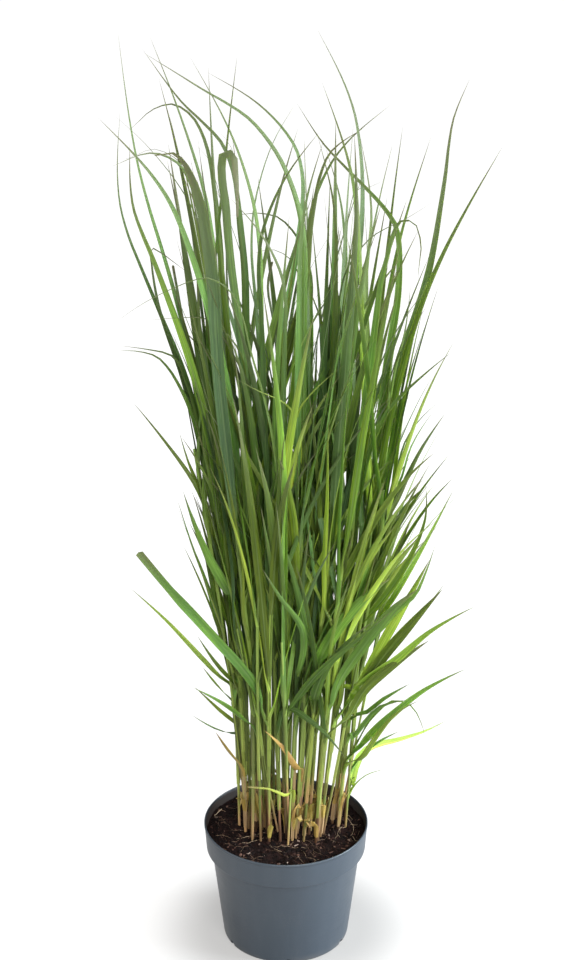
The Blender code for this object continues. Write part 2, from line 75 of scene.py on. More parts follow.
def makeStudio():
    scene = bpy.context.scene
    scene.view_settings.view_transform = "Standard"
    camera = bpy.data.objects.new("camera", bpy.data.cameras.new("camera"))
    scene.collection.objects.link(camera)
    camera.data.lens = studio["lens"]
    camera.data.clip_end = 100
    camera.location = studio["cameraPlace"]
    camera.rotation_euler = (math.radians(studio["cameraPitch"]), 0, 0)
    scene.camera = camera

    world = bpy.data.worlds.new("studioWorld")
    scene.world = world
    world.use_nodes = True
    sky = world.node_tree.nodes["Background"]
    sky.inputs["Color"].default_value = (*studio["skyColour"], 1)
    # the camera sees a white backdrop, which lights the plant more weakly than it looks
    seen = addNode(world.node_tree, "ShaderNodeLightPath").outputs["Is Camera Ray"]
    strength = maths(world.node_tree, "MAXIMUM", seen, studio["skyStrength"])
    world.node_tree.links.new(strength, sky.inputs["Strength"])

    for name, place, size, watts, colour in softLights:
        lamp = bpy.data.lights.new(name, "AREA")
        lamp.shape = "RECTANGLE"
        lamp.size, lamp.size_y = size
        lamp.energy = watts
        lamp.color = colour
        holder = bpy.data.objects.new(name, lamp)
        scene.collection.objects.link(holder)
        holder.location = place
        aim = Vector((0, 0, 0.45)) - Vector(place)
        holder.rotation_euler = aim.to_track_quat("-Z", "Y").to_euler()

    bm = bmesh.new()
    bmesh.ops.create_grid(bm, x_segments=1, y_segments=1, size=studio["floorSize"] / 2)
    floor = pieceFrom(bm, "studioFloor", [paintedFloor()])


# small helpers for meshes and nodes

def pieceFrom(bm, name, materials, sharpAngle=50):
    # a bmesh becomes an object at the origin
    mesh = bpy.data.meshes.new(name)
    bm.to_mesh(mesh)
    bm.free()
    for material in materials:
        mesh.materials.append(material)
    mesh.shade_smooth()
    mesh.set_sharp_from_angle(angle=math.radians(sharpAngle))
    piece = bpy.data.objects.new(name, mesh)
    bpy.context.scene.collection.objects.link(piece)
    return piece


def newMaterial(name, roughness, specular):
    material = bpy.data.materials.new(name)
    material.use_nodes = True
    shader = material.node_tree.nodes["Principled BSDF"]
    shader.inputs["Roughness"].default_value = roughness
    shader.inputs["Specular IOR Level"].default_value = specular
    return material, material.node_tree, shader


def addNode(tree, kind, inputs=None, **settings):
    node = tree.nodes.new(kind)
    for name, value in settings.items():
        setattr(node, name, value)
    for key, value in (inputs or {}).items():
        setInput(tree, node.inputs[key], value)
    return node


def setInput(tree, socket, value):
    # a socket is linked, and anything else is a fixed value
    if isinstance(value, bpy.types.NodeSocket):
        tree.links.new(value, socket)
    elif socket.type == "RGBA" and len(value) == 3:
        socket.default_value = (*value, 1)
    else:
        socket.default_value = value


def maths(tree, operation, first, second=0.0):
    return addNode(tree, "ShaderNodeMath", {0: first, 1: second}, operation=operation).outputs[0]


def times(tree, first, second):
    return maths(tree, "MULTIPLY", first, second)


def plus(tree, first, second):
    return maths(tree, "ADD", first, second)


def minus(tree, first, second):
    return maths(tree, "SUBTRACT", first, second)


def chanceOf(tree, own, step):
    # a leaf's own number, from 0 to 1, shuffled in another way for each step
    return maths(tree, "FRACT", times(tree, own, step))


def mixColour(tree, share, first, second, blend="MIX"):
    node = addNode(tree, "ShaderNodeMix", data_type="RGBA", blend_type=blend, clamp_factor=True)
    for place, value in ((0, share), (6, first), (7, second)):
        setInput(tree, node.inputs[place], value)
    return node.outputs[2]


def tinted(tree, share, colour, tint):
    return mixColour(tree, share, colour, tint, "MULTIPLY")


def remap(tree, value, low, high, toLow=0.0, toHigh=1.0, smooth=True):
    kind = "SMOOTHSTEP" if smooth else "LINEAR"
    inputs = {"Value": value, "From Min": low, "From Max": high, "To Min": toLow, "To Max": toHigh}
    return addNode(tree, "ShaderNodeMapRange", inputs, interpolation_type=kind, clamp=True).outputs[0]


def veiled(tree, base, colour, value, low, high, toLow=0.0, toHigh=1.0):
    # the colour comes over the base as the value goes from low to high
    return mixColour(tree, remap(tree, value, low, high, toLow, toHigh), base, colour)


def ramp(tree, value, stops):
    node = addNode(tree, "ShaderNodeValToRGB", {"Fac": value})
    elements = node.color_ramp.elements
    while len(elements) < len(stops):
        elements.new(0.5)
    for element, (place, colour) in zip(elements, stops):
        element.position = place
        element.color = (*colour, 1)
    return node.outputs["Color"]


def attribute(tree, name):
    return addNode(tree, "ShaderNodeAttribute", attribute_name=name).outputs["Fac"]


def objectPlace(tree):
    return addNode(tree, "ShaderNodeTexCoord").outputs["Object"]


def axisOf(tree, vector, axis):
    return addNode(tree, "ShaderNodeSeparateXYZ", {0: vector}).outputs[axis]


def roundSection(tree):
    # 0 to 1 round a leaf's or stem's section, the upper side first
    return axisOf(tree, addNode(tree, "ShaderNodeUVMap").outputs[0], 0)


def vectorOf(tree, *parts):
    return addNode(tree, "ShaderNodeCombineXYZ", dict(enumerate(parts))).outputs[0]


def stretched(tree, vector, scale):
    return addNode(tree, "ShaderNodeMapping", {"Vector": vector, "Scale": scale}).outputs[0]


def noiseAt(tree, vector, scale, detail=3.0, rough=0.5):
    inputs = {"Vector": vector, "Scale": scale, "Detail": detail, "Roughness": rough}
    return addNode(tree, "ShaderNodeTexNoise", inputs).outputs["Fac"]


def addRelief(tree, shader, height, strength, depth):
    bump = addNode(tree, "ShaderNodeBump", {"Height": height, "Strength": strength, "Distance": depth})
    tree.links.new(bump.outputs[0], shader.inputs["Normal"])


def makeGroup(name, inputs, outputs):
    tree = bpy.data.node_groups.new(name, "ShaderNodeTree")
    for socket, start in inputs.items():
        made = tree.interface.new_socket(name=socket, in_out="INPUT", socket_type="NodeSocketFloat")
        made.default_value = start
    for socket in outputs:
        tree.interface.new_socket(name=socket, in_out="OUTPUT", socket_type="NodeSocketFloat")
    entry = tree.nodes.new("NodeGroupInput")
    leave = tree.nodes.new("NodeGroupOutput")
    return tree, entry.outputs, leave.inputs


def useGroup(tree, group, **values):
    node = tree.nodes.new("ShaderNodeGroup")
    node.node_tree = group
    for name, value in values.items():
        setInput(tree, node.inputs[name], value)
    return node.outputs


# effects kept as node groups

def parallelVeins():
    # fine lines, streaks and slow patches along a leaf or stem
    masks = ["Lines", "Streaks", "Patches"]
    tree, entry, leave = makeGroup("parallelVeins", {"Lines": 26.0, "Waver": 0.25}, masks)
    across, onward, own = roundSection(tree), attribute(tree, "along"), attribute(tree, "own")

    def place(acrossScale, onwardScale):
        return vectorOf(tree, times(tree, across, acrossScale), times(tree, onward, onwardScale), own)

    drift = times(tree, noiseAt(tree, place(1.0, 9.0), 2.0, 2.0), entry["Waver"])
    phase = times(tree, plus(tree, across, times(tree, drift, 0.1)), entry["Lines"])
    wave = maths(tree, "SINE", times(tree, phase, 2 * math.pi))
    tree.links.new(remap(tree, wave, -1.0, 1.0), leave["Lines"])
    tree.links.new(noiseAt(tree, place(17.0, 14.0), 1.0, 3.0, 0.6), leave["Streaks"])
    tree.links.new(noiseAt(tree, place(1.5, 22.0), 1.0, 3.0, 0.55), leave["Patches"])
    return tree


def specks():
    # small spots in object space, gathered in patches
    tree, entry, leave = makeGroup("specks", {"Scale": 400.0, "Amount": 0.5}, ["Spots"])
    place = objectPlace(tree)
    cells = addNode(tree, "ShaderNodeTexVoronoi", {"Vector": place, "Scale": entry["Scale"]})
    patch = noiseAt(tree, place, 25.0)
    size = times(tree, entry["Amount"], times(tree, patch, patch))
    tree.links.new(maths(tree, "LESS_THAN", cells.outputs["Distance"], size), leave["Spots"])
    return tree


# materials

def paintedFloor():
    # the floor glows for the camera and for the pot's sheen, and lights nothing. Its glow is least next to
    # the pot, which paints a soft shadow round it
    material, tree, shader = newMaterial("paleFloor", 0.85, 0.2)
    shader.inputs["Base Color"].default_value = (*studio["floorColour"], 1)
    shader.inputs["Emission Color"].default_value = (1, 1, 1, 1)
    path = addNode(tree, "ShaderNodeLightPath").outputs
    mirrored = times(tree, path["Is Glossy Ray"], studio["mirroredGlow"])
    seen = maths(tree, "MAXIMUM", path["Is Camera Ray"], mirrored)
    away = addNode(tree, "ShaderNodeVectorMath", {0: objectPlace(tree)}, operation="LENGTH").outputs["Value"]
    (nearest, near, far), (least, nearer, further) = studio["floorGlowFrom"], studio["floorGlow"]
    # the glow grows with distance from the pot: a painted shadow round its foot
    glow = plus(tree, least, remap(tree, away, nearest, near, 0.0, nearer))
    glow = plus(tree, glow, remap(tree, away, near, far, 0.0, further))
    tree.links.new(times(tree, seen, glow), shader.inputs["Emission Strength"])
    return material


leafLooks = {
    "glaucous": (0.094, 0.18, 0.076),
    "green": (0.088, 0.194, 0.035),
    "olive": (0.122, 0.214, 0.021),
    "fresh": (0.245, 0.36, 0.06),
    "below": (0.82, 0.78, 0.55),
    "rib": (0.17, 0.24, 0.1),
    "margin": (0.18, 0.23, 0.08),
    "collar": (0.19, 0.27, 0.06),
    "groove": (0.38, 0.44, 0.34),
    # pale ones, then dark ones
    "streaks": [((1.8, 1.65, 1.6), 0.46, 0.66, 0.8), ((0.45, 0.5, 0.4), 0.44, 0.28, 0.6)],
    "faded": (0.094, 0.116, 0.053),
    "tipBrown": (0.125, 0.105, 0.065),
    "straw": (0.52, 0.38, 0.11),
    "rust": (0.33, 0.2, 0.065),
    "dryGroove": (0.45, 0.36, 0.26),
    # each leaf's brightness from darkest to lightest, partly its own tone and partly painted light and shade
    "shades": (0.55, 1.85),
    "roughness": 0.44,
    "lines": 26.0,
    "waver": 0.25,
}


def leafSkin(veins):
    # tone runs from blue green to yellow green, dry from fresh to straw, tip from collar to point
    looks = leafLooks
    material, tree, shader = newMaterial("leafSkin", looks["roughness"], 0.24)
    tone, dry, tip, own = (attribute(tree, name) for name in ("tone", "dry", "tip", "own"))
    lines = useGroup(tree, veins, Lines=looks["lines"], Waver=looks["waver"])
    across = roundSection(tree)
    patches = minus(tree, lines["Patches"], 0.5)
    fresh = ramp(tree, plus(tree, tone, times(tree, patches, 0.45)), [
        (0.0, looks["glaucous"]), (0.35, looks["green"]), (0.62, looks["olive"]), (1.0, looks["fresh"]),
    ])
    # the lower side has no bloom: it is darker and more olive
    sided = tinted(tree, maths(tree, "GREATER_THAN", across, 0.5), fresh, looks["below"])
    # a leaf is palest where it leaves its sheath, and each leaf gets a random brightness, partly its own tone
    # and partly painted light and shade
    collared = veiled(tree, sided, looks["collar"], tip, 0.0, 0.14, 0.7, 0.0)
    chance = maths(tree, "POWER", chanceOf(tree, own, 13.7), 2.0)
    shaded = tinted(tree, 1.0, collared, remap(tree, chance, 0.0, 1.0, *looks["shades"], smooth=False))
    grooves = times(tree, minus(tree, 1.0, lines["Lines"]), 0.5)
    lined = tinted(tree, grooves, shaded, looks["groove"])
    streaked = lined
    for tint, low, high, most in looks["streaks"]:
        streaked = tinted(tree, remap(tree, lines["Streaks"], low, high, 0.0, most), streaked, tint)
    # the midrib is a pale line up the middle, and the margins are pale too
    fold = maths(tree, "ABSOLUTE", minus(tree, maths(tree, "PINGPONG", across, 0.5), 0.25))
    rib = times(tree, remap(tree, fold, 0.008, 0.024, 1.0, 0.0), remap(tree, tip, 0.2, 0.8, 0.38, 0.0))
    ribbed = mixColour(tree, rib, streaked, looks["rib"])
    edged = veiled(tree, ribbed, looks["margin"], fold, 0.222, 0.247, 0.0, 0.35)
    # high leaves fade towards their points, all points brown off, and a dry leaf turns to straw and rust
    reach = plus(tree, tip, times(tree, patches, 0.35))
    height = axisOf(tree, objectPlace(tree), 2)
    fading = times(tree, remap(tree, reach, 0.42, 0.95, 0.0, 0.66), remap(tree, height, 0.4, 0.75, 0.3, 1.0))
    fading = plus(tree, fading, remap(tree, height, 0.72, 0.94, 0.0, 0.2))
    faded = mixColour(tree, fading, edged, looks["faded"])
    tipped = veiled(tree, faded, looks["tipBrown"], reach, 0.8, 1.05, 0.0, 0.8)
    husk = veiled(tree, looks["straw"], looks["rust"], lines["Patches"], 0.35, 0.65)
    husk = tinted(tree, grooves, husk, looks["dryGroove"])
    tree.links.new(mixColour(tree, dry, tipped, husk), shader.inputs["Base Color"])
    rough = plus(tree, looks["roughness"], times(tree, patches, 0.3))
    tree.links.new(rough, shader.inputs["Roughness"])
    addRelief(tree, shader, plus(tree, times(tree, lines["Lines"], 0.5), lines["Streaks"]), 0.4, 0.0003)
    shader.inputs["Subsurface Weight"].default_value = 0.2
    shader.inputs["Subsurface Radius"].default_value = (0.8, 1.0, 0.3)
    shader.inputs["Subsurface Scale"].default_value = 0.0015
    return material


stemLooks = {
    "soilBrown": (0.075, 0.038, 0.024),
    "tan": (0.4, 0.265, 0.13),
    "pinkTan": (0.3, 0.165, 0.105),
    # colours of the stem's lengths above the tan one, and the heights they come in between
    "lengths": [
        ((0.195, 0.245, 0.062), 0.155, 0.215),
        ((0.15, 0.225, 0.045), 0.24, 0.36),
        ((0.12, 0.205, 0.036), 0.42, 0.62),
    ],
    "tanFrom": (0.122, 0.162),
    "fresh": (1.35, 1.3, 0.75),
    "groove": (0.45, 0.48, 0.38),
    "streak": (1.4, 1.35, 1.3),
    "dry": ((0.46, 0.33, 0.18), (0.26, 0.15, 0.08)),
    "shades": (0.6, 1.45),
    "roughness": 0.45,
    "lines": 16.0,
    "waver": 0.15,
}


def stemSkin(veins):
    # stems and sheaths: brown at the compost, tan, then pale green and green with height
    looks = stemLooks
    material, tree, shader = newMaterial("stemSkin", looks["roughness"], 0.4)
    tone, dry, own = (attribute(tree, name) for name in ("tone", "dry", "own"))
    lines = useGroup(tree, veins, Lines=looks["lines"], Waver=looks["waver"])
    jitter = times(tree, minus(tree, lines["Patches"], 0.5), 0.1)
    ageing = times(tree, minus(tree, chanceOf(tree, own, 7.31), 0.5), -0.09)
    level = plus(tree, plus(tree, axisOf(tree, objectPlace(tree), 2), jitter), ageing)
    tan = mixColour(tree, chanceOf(tree, own, 3.77), looks["tan"], looks["pinkTan"])
    colour = veiled(tree, looks["soilBrown"], tan, level, *looks["tanFrom"])
    for higher, low, high in looks["lengths"]:
        colour = veiled(tree, colour, higher, level, low, high)
    colour = tinted(tree, 1.0, colour, remap(tree, chanceOf(tree, own, 11.3), 0.0, 1.0, *looks["shades"]))
    colour = tinted(tree, times(tree, tone, 0.45), colour, looks["fresh"])
    colour = tinted(tree, times(tree, minus(tree, 1.0, lines["Lines"]), 0.3), colour, looks["groove"])
    colour = tinted(tree, remap(tree, lines["Streaks"], 0.45, 0.8, 0.0, 0.45), colour, looks["streak"])
    colour = mixColour(tree, dry, colour, mixColour(tree, lines["Streaks"], *looks["dry"]))
    tree.links.new(colour, shader.inputs["Base Color"])
    addRelief(tree, shader, lines["Streaks"], 0.4, 0.0003)
    tree.links.new(remap(tree, lines["Patches"], 0.3, 0.7, 0.36, 0.62), shader.inputs["Roughness"])
    return material


def compostSkin():
    material, tree, shader = newMaterial("compostSkin", 0.9, 0.12)
    place = objectPlace(tree)
    fine = noiseAt(tree, place, 900.0, 4.0, 0.7)
    coarse = noiseAt(tree, place, 130.0, 4.0, 0.6)
    base = ramp(tree, fine, [
        (0.25, (0.004, 0.002, 0.002)), (0.5, (0.01, 0.005, 0.005)), (0.68, (0.028, 0.014, 0.012)),
        (0.85, (0.1, 0.055, 0.042)),
    ])
    damp = veiled(tree, (0.45, 0.42, 0.45), (1.25, 1.1, 1.05), coarse, 0.35, 0.62)
    tree.links.new(tinted(tree, 1.0, base, damp), shader.inputs["Base Color"])
    addRelief(tree, shader, fine, 0.8, 0.0008)
    tree.links.new(remap(tree, coarse, 0.3, 0.7, 0.7, 0.98), shader.inputs["Roughness"])
    return material


def crumbSkin():
    # crumbs of peat and bark, each its own brown
    material, tree, shader = newMaterial("crumbSkin", 0.85, 0.15)
    fine = noiseAt(tree, objectPlace(tree), 700.0, 3.0, 0.6)
    base = ramp(tree, attribute(tree, "own"), [
        (0.0, (0.003, 0.002, 0.002)), (0.55, (0.009, 0.004, 0.004)), (0.8, (0.03, 0.014, 0.011)),
        (0.91, (0.12, 0.065, 0.05)), (1.0, (0.45, 0.35, 0.29)),
    ])
    shades = remap(tree, fine, 0.3, 0.7, 0.4, 1.6)
    tree.links.new(tinted(tree, 0.6, base, shades), shader.inputs["Base Color"])
    addRelief(tree, shader, fine, 0.6, 0.0005)
    return material


def fibreSkin():
    # roots and straw, each its own brown, with darker spots
    material, tree, shader = newMaterial("fibreSkin", 0.7, 0.3)
    base = ramp(tree, attribute(tree, "own"), [
        (0.0, (0.12, 0.075, 0.05)), (0.5, (0.27, 0.18, 0.12)), (1.0, (0.55, 0.44, 0.31)),
    ])
    spots = noiseAt(tree, objectPlace(tree), 500.0, 3.0, 0.6)
    tree.links.new(veiled(tree, base, (0.1, 0.06, 0.04), spots, 0.45, 0.75), shader.inputs["Base Color"])
    return material


potLooks = {
    "colour": (0.031, 0.046, 0.065),
    "worn": (0.049, 0.065, 0.087),
    "deep": (0.028, 0.036, 0.052),
    "dust": (0.2, 0.18, 0.16),
    # soil stains the inside, and the same colour is the painted shade in the crease under the band
    "soil": (0.02, 0.012, 0.01),
    "roughness": 0.42,
    "flowScale": (60.0, 60.0, 4.0),
    "scuffScale": (30.0, 30.0, 700.0),
    "dustHeight": 0.012,
    "shadedCreaseHeight": 0.1145,
    "stainTop": (0.1425, 0.1475),
}


def moulded(spotted):
    # grey blue polypropylene: faint flow marks, fine scuffs, a little dust at the foot and soil at the lip
    looks = potLooks
    material, tree, shader = newMaterial("mouldedPlastic", looks["roughness"], 0.75)
    place = objectPlace(tree)
    height = axisOf(tree, place, 2)
    streaks = noiseAt(tree, stretched(tree, place, looks["flowScale"]), 1.0, 4.0, 0.55)
    clouds = noiseAt(tree, place, 18.0, 4.0, 0.55)
    scuffs = noiseAt(tree, stretched(tree, place, looks["scuffScale"]), 1.0, 3.0, 0.7)
    base = veiled(tree, looks["colour"], looks["worn"], streaks, 0.35, 0.7, 0.0, 0.28)
    base = veiled(tree, base, looks["deep"], clouds, 0.4, 0.7, 0.0, 0.22)
    base = veiled(tree, base, looks["worn"], scuffs, 0.68, 0.82, 0.0, 0.3)
    foot = remap(tree, height, 0.0, looks["dustHeight"], 1.0, 0.0)
    dusty = times(tree, times(tree, foot, remap(tree, clouds, 0.35, 0.65)), 0.35)
    base = mixColour(tree, dusty, base, looks["dust"])
    spots = useGroup(tree, spotted, Scale=900.0, Amount=0.55)["Spots"]
    base = mixColour(tree, times(tree, spots, 0.25), base, looks["dust"])
    # painted shade darkens the crease under the band, and wet compost has stained the inside almost to the
    # lip
    crease = maths(tree, "ABSOLUTE", minus(tree, height, looks["shadedCreaseHeight"]))
    base = veiled(tree, base, looks["soil"], crease, 0.0004, 0.0022, 0.7, 0.0)
    ragged = plus(tree, height, times(tree, minus(tree, clouds, 0.5), 0.012))
    stain = times(tree, attribute(tree, "inside"), remap(tree, ragged, *looks["stainTop"], 1.0, 0.25))
    base = mixColour(tree, stain, base, looks["soil"])
    tree.links.new(base, shader.inputs["Base Color"])
    worn = plus(tree, clouds, times(tree, scuffs, 0.5))
    rough = maths(tree, "MAXIMUM", remap(tree, worn, 0.4, 1.1, 0.3, 0.46), times(tree, stain, 0.85))
    tree.links.new(rough, shader.inputs["Roughness"])
    grain = noiseAt(tree, place, 2600.0, 2.0, 0.6)
    addRelief(tree, shader, plus(tree, grain, times(tree, streaks, 1.5)), 0.12, 0.0002)
    return material


# growth lines: read from the frame's plain solids, then sampled smoothly

solidRings = {"weld": 1e-5, "footDepth": 2e-4, "footSize": 0.0042}


def ringCentres(name, startsNear=None):
    # the middle of each of the solid's rings, counted outwards from its foot, and the ring's widest way
    bm = bmesh.new()
    bm.from_mesh(nodes[name].data)
    bmesh.ops.remove_doubles(bm, verts=bm.verts[:], dist=solidRings["weld"])
    if startsNear is None:
        lowest = min(v.co.z for v in bm.verts)
        ring = {v for v in bm.verts if v.co.z < lowest + solidRings["footDepth"]}
    else:
        first = min(bm.verts, key=lambda v: (v.co - startsNear).length)
        ring = {v for v in bm.verts if (v.co - first.co).length < solidRings["footSize"]}
    seen, centres, spans = set(), [], []
    while ring:
        places = np.array([v.co for v in ring])
        centres.append(places.mean(axis=0))
        spread = places - centres[-1]
        spans.append(np.linalg.svd(spread)[2][0])
        seen |= ring
        ring = {e.other_vert(v) for v in ring for e in v.link_edges} - seen
    bm.free()
    return np.array(centres), np.array(spans)


def growthLine(points):
    # three points or more, with a slope at each one
    points = np.array(points, dtype=float)
    steps = np.linalg.norm(np.diff(points, axis=0), axis=1)
    knots = np.concatenate([[0.0], np.cumsum(steps)])
    runs = np.diff(points, axis=0) / steps[:, None]
    ahead, behind = steps[1:, None], steps[:-1, None]
    between = (runs[:-1] * ahead + runs[1:] * behind) / (ahead + behind)
    first, last = 1.5 * runs[:1] - 0.5 * between[:1], 1.5 * runs[-1:] - 0.5 * between[-1:]
    slopes = np.concatenate([first, between, last])
    return {"points": points, "knots": knots, "slopes": slopes, "length": knots[-1]}


def along(line, distances):
    # places at the distances from the line's start
    points, knots, slopes = line["points"], line["knots"], line["slopes"]
    stretch = np.clip(np.searchsorted(knots, distances, side="right") - 1, 0, len(knots) - 2)
    length = (knots[stretch + 1] - knots[stretch])[:, None]
    t = (distances - knots[stretch])[:, None] / length
    return (
        points[stretch] * (2 * t**3 - 3 * t**2 + 1)
        + slopes[stretch] * length * (t**3 - 2 * t**2 + t)
        + points[stretch + 1] * (3 * t**2 - 2 * t**3)
        + slopes[stretch + 1] * length * (t**3 - t**2)
    )


def unit(vectors):
    return vectors / np.maximum(np.linalg.norm(vectors, axis=-1, keepdims=True), 1e-9)


def levelWay(turn):
    return np.array((math.cos(turn), math.sin(turn), 0.0))


def smoothShare(value, low, high):
    share = np.clip((value - low) / (high - low), 0, 1)
    return share * share * (3 - 2 * share)


def distanceAtHeight(line, height):
    distances = np.linspace(0, line["length"], 300)
    return distances[np.argmin(np.abs(along(line, distances)[:, 2] - height))]


# leaves and stems: strips rolled from a grid, closed along the seam and at the ends

def newClump():
    bm = bmesh.new()
    bm.loops.layers.uv.verify()
    layers = {name: bm.verts.layers.float.new(name) for name in ("along", "tip", "tone", "dry", "own")}
    return bm, layers


def finishedClump(bm, name, materials):
    bmesh.ops.recalc_face_normals(bm, faces=bm.faces[:])
    return pieceFrom(bm, name, materials)


def rolledGrid(bm, layers, middle, around, sheathRows, marks, section):
    # section says where a ring's points lie. The first rows, those of the sheath, take the stem's skin
    count = len(middle)
    made = bmesh.ops.create_grid(bm, x_segments=around, y_segments=count - 1, size=0.5, calc_uvs=True)
    grid = made["verts"]
    flat = np.array([v.co for v in grid])
    ring = np.rint((flat[:, 1] + 0.5) * (count - 1)).astype(int)
    places = section(ring, flat[:, 0] + 0.5)
    lengths = np.concatenate([[0], np.cumsum(np.linalg.norm(np.diff(middle, axis=0), axis=1))])
    for vert, place, row in zip(grid, places, ring):
        vert.co = place
        vert[layers["along"]] = lengths[row]
        vert[layers["tip"]] = marks["tip"][row] if "tip" in marks else 0.0
        for name in ("tone", "dry", "own"):
            vert[layers[name]] = marks.get(name, 0.0)
    stemSide = set(np.array(grid, dtype=object)[ring <= sheathRows])
    for face in {face for vert in grid for face in vert.link_faces}:
        face.material_index = int(stemSide.issuperset(face.verts))
    bmesh.ops.remove_doubles(bm, verts=grid, dist=2e-6)


def tube(bm, layers, middle, girth, marks, around):
    # a round tube along a line, drawn to a point at both ends, in the stem's skin
    middle = np.asarray(middle, dtype=float)
    ways = unit(np.gradient(middle, axis=0))
    steep = np.abs(ways[:, 2]).max() > 0.9
    side = unit(np.cross(ways, (0.0, 1.0, 0.0) if steep else (0.0, 0.0, 1.0)))
    up = np.cross(side, ways)
    girth = np.array(girth, dtype=float)
    girth[0] = girth[-1] = 1e-7

    def section(ring, turn):
        reach, angle = girth[ring][:, None], 2 * math.pi * turn[:, None]
        return middle[ring] + side[ring] * reach * np.cos(angle) + up[ring] * reach * np.sin(angle)

    rolledGrid(bm, layers, middle, around, len(middle), marks, section)


stemShape = {
    "around": 10,
    "step": 0.009,
    "joints": (0.05, 0.15, 0.27, 0.4),
    "swell": 0.17,
    "jointLength": 0.004,
    "taper": 0.22,
    "sinks": 0.006,
}


def stem(bm, layers, line, top, radius, marks):
    # a round stem with a slight ring at each joint, its top closed inside the last leaf
    distances = np.concatenate([[0.0, 0.0005], np.arange(0.008, top, stemShape["step"]), [top, top + 0.001]])
    middle = along(line, distances)
    middle[0, 2] -= stemShape["sinks"]
    jointLength, swell = stemShape["jointLength"], stemShape["swell"]
    rings = sum(np.exp(-(((distances - joint) / jointLength) ** 2)) for joint in stemShape["joints"])
    girth = radius * (1.0 - stemShape["taper"] * distances / top) * (1.0 + swell * rings)
    tube(bm, layers, middle, girth, marks, stemShape["around"])


leafShape = {
    "around": 10,
    "step": 0.011,
    "thickness": 0.00042,
    "keel": 0.00035,
    "sheathWrap": 5.3,
    "opensOver": 0.035,
    "widestAt": 0.25,
    "base": 0.62,
    "taperFrom": 0.35,
    "taper": 1.25,
    "channel": 0.9,
    "turnsOver": (0.01, 0.09),
    "lead": 0.022,
    "bluntEdge": 0.0015,
    "thinsBy": 0.55,
    "keelReach": 0.22,
    "leastRoll": 0.06,
    "twistsFrom": 0.15,
    "collarLength": 0.004,
    "sheath": 0.1,
}


def leaf(bm, layers, line, collar, bladePoints, outward, facing, look):
    # the sheath wraps the stem below the collar, then opens into the blade above it
    girth = look["girth"]
    collarLength = leafShape["collarLength"]
    sheathLength = min(look.get("sheath", leafShape["sheath"]), max(collar - collarLength, 0.0))
    wrapped = int(sheathLength / leafShape["step"])
    sheathPlaces = along(line, collar - leafShape["step"] * np.arange(wrapped, 0, -1))
    start, ahead = along(line, np.array([collar, collar + collarLength]))
    way = unit(ahead - start)
    outward = unit(outward - way * np.dot(outward, way))
    foot = start + outward * girth
    lead = unit(way + outward * look["lean"])
    blade = growthLine([foot, foot + lead * leafShape["lead"], *bladePoints])
    distances = np.linspace(0, blade["length"], max(8, int(blade["length"] / leafShape["step"])) + 1)
    if "blunt" in look:
        distances[-2] = distances[-1] - leafShape["bluntEdge"]
    middle = np.concatenate([sheathPlaces + outward * girth, along(blade, distances)])
    length = np.concatenate([np.zeros(wrapped), distances])
    share = length / blade["length"]
    tip = np.concatenate([np.linspace(-1, 0, wrapped, endpoint=False), distances / blade["length"]])

    opened = smoothShare(length, 0.0, leafShape["opensOver"])
    rise = leafShape["base"] + (1 - leafShape["base"]) * smoothShare(share, 0.0, leafShape["widestAt"])
    narrows = look.get("taperFrom", leafShape["taperFrom"])
    taper = 1 - np.clip((share - narrows) / (1 - narrows), 0, 1) ** look.get("taper", leafShape["taper"])
    if "blunt" in look:
        taper = np.maximum(taper, look["blunt"])
    wrap = leafShape["sheathWrap"]
    halfWidth = girth * wrap / 2 * (1 - opened) + look["width"] / 2 * rise * taper * opened
    channel = look.get("channel", leafShape["channel"])
    roll = wrap * (1 - opened) ** 2 + channel * opened * (1 - 0.5 * share) + leafShape["leastRoll"]
    thickness = leafShape["thickness"] * (1 - leafShape["thinsBy"] * share)
    keel = leafShape["keel"] * opened * (1 - share)
    thickness[0] = thickness[-1] = 0.0
    keel[-1] = 0.0
    halfWidth[-1] = 1e-7

    ways = unit(np.gradient(middle, axis=0))
    aim = unit(np.asarray(facing, dtype=float))
    aim = aim if np.dot(aim, outward) <= 0 else -aim
    turned = smoothShare(length, *leafShape["turnsOver"])[:, None]
    up = -outward * (1 - turned) + aim * turned
    up = unit(up - ways * np.sum(up * ways, axis=1)[:, None])
    side = np.cross(ways, up)
    twist = (look["twist"] * smoothShare(share, leafShape["twistsFrom"], 1.0))[:, None]
    up, side = up * np.cos(twist) + side * np.sin(twist), side * np.cos(twist) - up * np.sin(twist)

    def section(ring, turn):
        across = -np.cos(2 * math.pi * turn)
        upper = np.where(turn < 0.5, 1.0, -1.0)
        radius = 2 * halfWidth[ring] / roll[ring]
        lift = upper * thickness[ring] * (1 - across**4) / 2
        lift -= np.where(upper < 0, keel[ring] * np.exp(-((across / leafShape["keelReach"]) ** 2)), 0.0)
        angle = across * roll[ring] / 2
        sideways = (radius - lift) * np.sin(angle)
        upwards = radius - (radius - lift) * np.cos(angle)
        return middle[ring] + side[ring] * sideways[:, None] + up[ring] * upwards[:, None]

    marks = {"tip": tip, "tone": look["tone"], "dry": look.get("dry", 0.0)}
    marks["own"] = look.get("own", luck.random())
    rolledGrid(bm, layers, middle, leafShape["around"], wrapped, marks, section)


# the shoots

